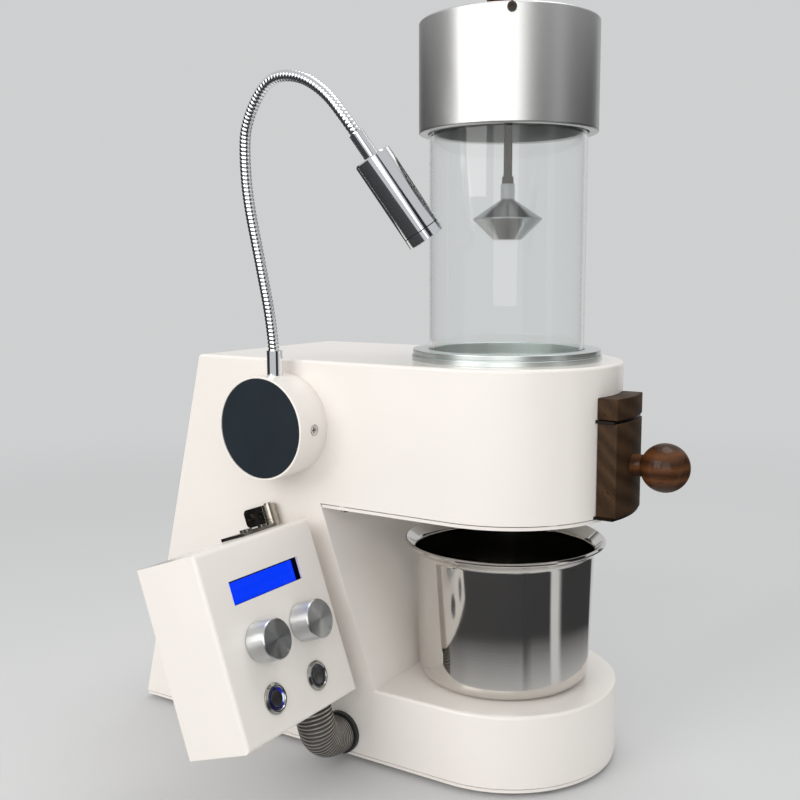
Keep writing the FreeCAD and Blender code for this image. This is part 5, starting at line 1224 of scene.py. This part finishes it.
class ROASTER_OT_buttons(bpy.types.Operator):
    """Push buttons: polished bezel, light ring and brushed face"""

    bl_idname = "roaster.buttons"
    bl_label = "Buttons"

    def execute(self, context):
        radius, face, back = 6.2 * MM, 1.6 * MM, -15.5 * MM
        inner = radius - context.scene.roaster_sizes.ring_width
        disc, sunk = inner - 0.12 * MM, face - 0.5 * MM
        outer, sleeve, bore, top, depth = 9 * MM, 8 * MM, 6.5 * MM, 2 * MM, -18 * MM
        ring = [(0, back), (radius, back), (radius, face), (inner, face), (inner, sunk), (0, sunk)]
        dish = [(0, sunk), (disc, sunk), (disc, face + 0.05 * MM), (inner - 1.0 * MM, face - 0.15 * MM),
                (0, face - 0.3 * MM)]
        bezel = [(bore, depth), (bore, top - 0.5 * MM), (bore + 0.5 * MM, top), (outer - 1.3 * MM, top),
                 (outer, 0.9 * MM), (outer, 0), (sleeve, 0), (sleeve, depth - 2 * MM), (0, depth - 2 * MM),
                 (0, depth)]
        for side, ring_finish in (("left", lit_ring()), ("right", dark_ring())):
            knob = Vector(JOINTS[side + "_knob_turn"]["pos_m"])
            across = middle(side + "_button_plunger").y
            down = (knob - middle(side + "_button_housing")).dot(FACE_UP)
            centre = Vector((knob.x, across, knob.z)) - FACE_UP * down
            body, plunger, housing = side + "_button", side + "_button_plunger", side + "_button_housing"
            for name, look, rides, node, corners, rounds in (
                    ("_light_ring", ring_finish, body, plunger, ring, [0, 0.3, 0.5, 0.15, 0, 0]),
                    ("_button_face", button_face(), body, plunger, dish, [0, 0, 0.25, 0, 0]),
                    ("_button_bezel", button_steel(), "control_box", housing, bezel,
                     [0, 0.2, 0.15, 0.25, 0.2, 0, 0, 0.3, 0, 0])):
                Shape().turned(corners, [value * MM for value in rounds], centre, BOX_TURN, around=96).piece(
                    side + name, look, rides, [node], "button_steel")
        return {"FINISHED"}


class ROASTER_OT_hinge(bpy.types.Operator):
    """Finish the hinge's leaves, pin and screws"""

    bl_idname = "roaster.hinge"
    bl_label = "Hinge"

    def execute(self, context):
        dress(dark_nickel(), "body_hinge_leaf", "box_hinge_leaf", "hinge_pin", "body_hinge_screws",
              "box_hinge_screws")
        return {"FINISHED"}


# control points of the conduit's route, from under the control box to inside the stand's wall
CONDUIT_ROUTE = [(-0.0832, -0.1040, 0.0453), (-0.0806, -0.1040, 0.0378), (-0.0807, -0.1004, 0.0259),
                 (-0.0808, -0.0898, 0.0180), (-0.0808, -0.0780, 0.0180)]


class ROASTER_OT_conduit(bpy.types.Operator):
    """Corrugated conduit that bends between the stand and the control box"""

    bl_idname = "roaster.conduit"
    bl_label = "Conduit"

    def execute(self, context):
        sizes = context.scene.roaster_sizes
        radius, around = 12.2 * MM, 64
        path, along = route(CONDUIT_ROUTE, sizes.conduit_pitch / 10)
        # ribs: the radius dips by the depth times one less the size of a sine whose half wave is the pitch
        crown = np.abs(np.sin(math.pi * along / sizes.conduit_pitch))
        radii = radius - sizes.conduit_depth * (1 - crown[:, None]) * np.ones((1, around))
        shape = Shape().tube(path, radii, np.array(FACE_OUT), along).close_ends(len(path), around)
        conduit = shape.piece("corrugated_conduit", conduit_steel(), slot="conduit_steel", sharp=80)
        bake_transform(conduit)
        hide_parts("conduit")
        return {"FINISHED"}


# ---------------------------------------------------------------- stage


class ROASTER_OT_stage(bpy.types.Operator):
    """Pale floor and background, soft lamps and the camera"""

    bl_idname = "roaster.stage"
    bl_label = "Stage"

    def execute(self, context):
        stage = context.scene.roaster_stage
        make_floor(stage)
        make_world(stage)
        make_lamps()
        make_cards()
        make_camera(stage)
        context.scene.view_settings.view_transform = "Standard"
        return {"FINISHED"}


def seen_directly(tree):
    """1 for rays of the camera and for mirrored and refracted rays, which all show the background."""
    path = tree.nodes.new("ShaderNodeLightPath")
    value = path.outputs["Is Camera Ray"]
    for name in ("Is Glossy Ray", "Is Transmission Ray"):
        both = tree.nodes.new("ShaderNodeMath")
        both.operation = "MAXIMUM"
        tree.links.new(value, both.inputs[0])
        tree.links.new(path.outputs[name], both.inputs[1])
        value = both.outputs[0]
    return value


def make_floor(stage):
    """Round floor that fades into the background with its distance from the roaster."""
    radius = 3.0
    angles = np.arange(stage.floor_corners) / stage.floor_corners * 2 * math.pi
    points = swept(angles, np.linspace(0, radius, 6), 0.0)
    recipe = Recipe("Floor")
    grain = recipe.noise(recipe.place(), 90, 3)
    tone = recipe.blend(recipe.maths("MULTIPLY", grain, 0.05), tuple(stage.backdrop), (0.5, 0.5, 0.5))
    recipe.set({"Base Color": tone, "Roughness": 0.75, "Specular IOR Level": 0.2})
    distance = recipe.add("VectorMath", {0: recipe.place()}, operation="LENGTH").outputs["Value"]
    fade = recipe.add("MapRange", {"Value": distance, "From Min": 0.45, "From Max": 1.5},
                      interpolation_type="SMOOTHSTEP").outputs[0]
    share = recipe.maths("MULTIPLY", fade, seen_directly(recipe.tree))
    glow = recipe.add("Emission", {"Color": tuple(stage.backdrop)}).outputs[0]
    recipe.show(share, recipe.surface.outputs[0], glow)
    Shape().grid(points, wrap_rows=True).piece("floor", recipe.material)


def make_world(stage):
    """Even background for rays that show it, and a softer even light for the rest."""
    world = bpy.data.worlds.new("Studio")
    bpy.context.scene.world = world
    world.use_nodes = True
    tree = world.node_tree
    tree.nodes.clear()
    shades = []
    for value in (tuple(stage.backdrop), (stage.ambient,) * 3):
        background = tree.nodes.new("ShaderNodeBackground")
        background.inputs["Color"].default_value = (*value, 1)
        shades.append(background.outputs[0])
    mix = tree.nodes.new("ShaderNodeMixShader")
    tree.links.new(seen_directly(tree), mix.inputs[0])
    tree.links.new(shades[1], mix.inputs[1])
    tree.links.new(shades[0], mix.inputs[2])
    output = tree.nodes.new("ShaderNodeOutputWorld")
    tree.links.new(mix.outputs[0], output.inputs["Surface"])


def make_lamps():
    """Soft boxes: key from the left, a broad one beside the camera, fill from the right, and one overhead."""
    aim = Vector((-0.05, 0, 0.25))
    boxes = (("key", (-0.55, -1.60, 0.95), (1.0, 1.0), 11.0, (1.0, 0.985, 0.96)),
             ("front", (0.75, -1.70, 0.80), (1.2, 1.2), 8.2, (1.0, 0.99, 0.97)),
             ("fill", (1.55, -0.35, 0.75), (1.0, 1.2), 1.0, (0.95, 0.98, 1.0)),
             ("top", (0.1, 0.35, 1.7), (0.9, 0.9), 8.5, (1.0, 1.0, 1.0)))
    for name, place, (width, height), watts, tint in boxes:
        lamp = bpy.data.lights.new(name, "AREA")
        lamp.shape = "RECTANGLE"
        lamp.size = width
        lamp.size_y = height
        lamp.energy = watts
        lamp.color = tint
        holder = bpy.data.objects.new(name, lamp)
        holder.location = place
        holder.rotation_euler = (Vector(place) - aim).to_track_quat("Z", "Y").to_euler()
        holder.visible_transmission = False
        holder.visible_glossy = name != "fill"
        bpy.context.scene.collection.objects.link(holder)


def make_cards():
    """Dark studio cards that only mirrored rays meet, so that metal has dark bands beside its bright ones.

    Each is a sheet that lies on the floor and may rise behind it, over a part of the circle round the
    roaster: its profile of (radius, height) is turned through the angles of that part. It fades out
    towards its edges.
    """
    recipe = Recipe("Studio card")
    recipe.set({"Base Color": (0.04, 0.04, 0.042), "Roughness": 0.9, "Specular IOR Level": 0.1})
    split = recipe.add("SeparateXYZ", {0: recipe.add("UVMap", uv_map="UVMap").outputs[0]})
    from_middle = recipe.maths("ABSOLUTE", recipe.maths("SUBTRACT", split.outputs["X"], 0.5))
    shown = recipe.maths("MULTIPLY", recipe.span(from_middle, 0.5, 0.42),
                         recipe.span(split.outputs["Y"], 0, 0.12))
    clear = recipe.add("BsdfTransparent").outputs[0]
    recipe.show(shown, clear, recipe.surface.outputs[0])
    low_edge, near, away = 0.004, 0.14, 0.34
    wall, near_wall = (rounded([(inner, low_edge), (2.7, low_edge), (2.7, 1.15)], [0, 0.4, 0], steps=8)
                       for inner in (away, near))
    mat = np.array([(near, low_edge / 2), (1.3, low_edge / 2)])
    cards = (("card_left", wall, 140, 236), ("card_front", mat, 222, 330),
             ("card_side", near_wall, 318, 355), ("card_right", near_wall, 363, 440))
    for name, profile, start, end in cards:
        angles = np.radians(np.linspace(start, end, 32))
        card = Shape().grid(swept(angles, *profile.T)).piece(name, recipe.material)
        card.visible_camera = False
        card.visible_diffuse = False
        card.visible_transmission = False
        card.visible_shadow = False


def make_camera(stage):
    """Camera at its place, turned about the vertical, then down, then rolled."""
    camera = bpy.data.cameras.new("camera")
    camera.lens = stage.lens
    camera.sensor_width = 36
    camera.shift_x = -0.0040
    camera.shift_y = -0.0010
    camera.clip_start = 0.01
    camera.clip_end = 50
    holder = bpy.data.objects.new("camera", camera)
    turn = (Matrix.Rotation(stage.azimuth, 4, "Z") @ Matrix.Rotation(math.pi / 2 - stage.pitch, 4, "X")
            @ Matrix.Rotation(stage.roll, 4, "Z"))
    holder.matrix_world = Matrix.Translation(stage.place) @ turn
    bpy.context.scene.collection.objects.link(holder)
    bpy.context.scene.camera = holder


# ---------------------------------------------------------------- add-on

PIECES = (ROASTER_OT_stand, ROASTER_OT_insides, ROASTER_OT_chamber, ROASTER_OT_cap, ROASTER_OT_deflector,
          ROASTER_OT_nose, ROASTER_OT_cup, ROASTER_OT_lamp_base, ROASTER_OT_gooseneck, ROASTER_OT_lamp_head,
          ROASTER_OT_control_box, ROASTER_OT_knobs, ROASTER_OT_buttons, ROASTER_OT_hinge, ROASTER_OT_conduit,
          ROASTER_OT_stage)


class ROASTER_PT_panel(bpy.types.Panel):
    """Sizes, colours and the operators in order"""

    bl_label = "Coffee roaster"
    bl_idname = "ROASTER_PT_panel"
    bl_space_type = "VIEW_3D"
    bl_region_type = "UI"
    bl_category = "Roaster"

    def draw(self, context):
        scene = context.scene
        for group in (scene.roaster_sizes, scene.roaster_colours, scene.roaster_stage):
            box = self.layout.box()
            for name in group.__annotations__:
                box.prop(group, name)
        for piece in PIECES:
            self.layout.operator(piece.bl_idname)


GROUPS = {"roaster_sizes": RoasterSizes, "roaster_colours": RoasterColours, "roaster_stage": RoasterStage}


def register():
    for group in GROUPS.values():
        bpy.utils.register_class(group)
    for name, group in GROUPS.items():
        setattr(bpy.types.Scene, name, PointerProperty(type=group))
    for item in (*PIECES, ROASTER_PT_panel):
        bpy.utils.register_class(item)


def unregister():
    for item in (ROASTER_PT_panel, *reversed(PIECES)):
        bpy.utils.unregister_class(item)
    for name in GROUPS:
        delattr(bpy.types.Scene, name)
    for group in GROUPS.values():
        bpy.utils.unregister_class(group)


def main():
    """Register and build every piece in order."""
    register()
    for item in list(bpy.data.objects):
        if item.name in ("Cube", "Light", "Camera"):
            bpy.data.objects.remove(item)
    for piece in PIECES:
        getattr(bpy.ops.roaster, piece.bl_idname.split(".")[1])()


if __name__ == "__main__":
    main()
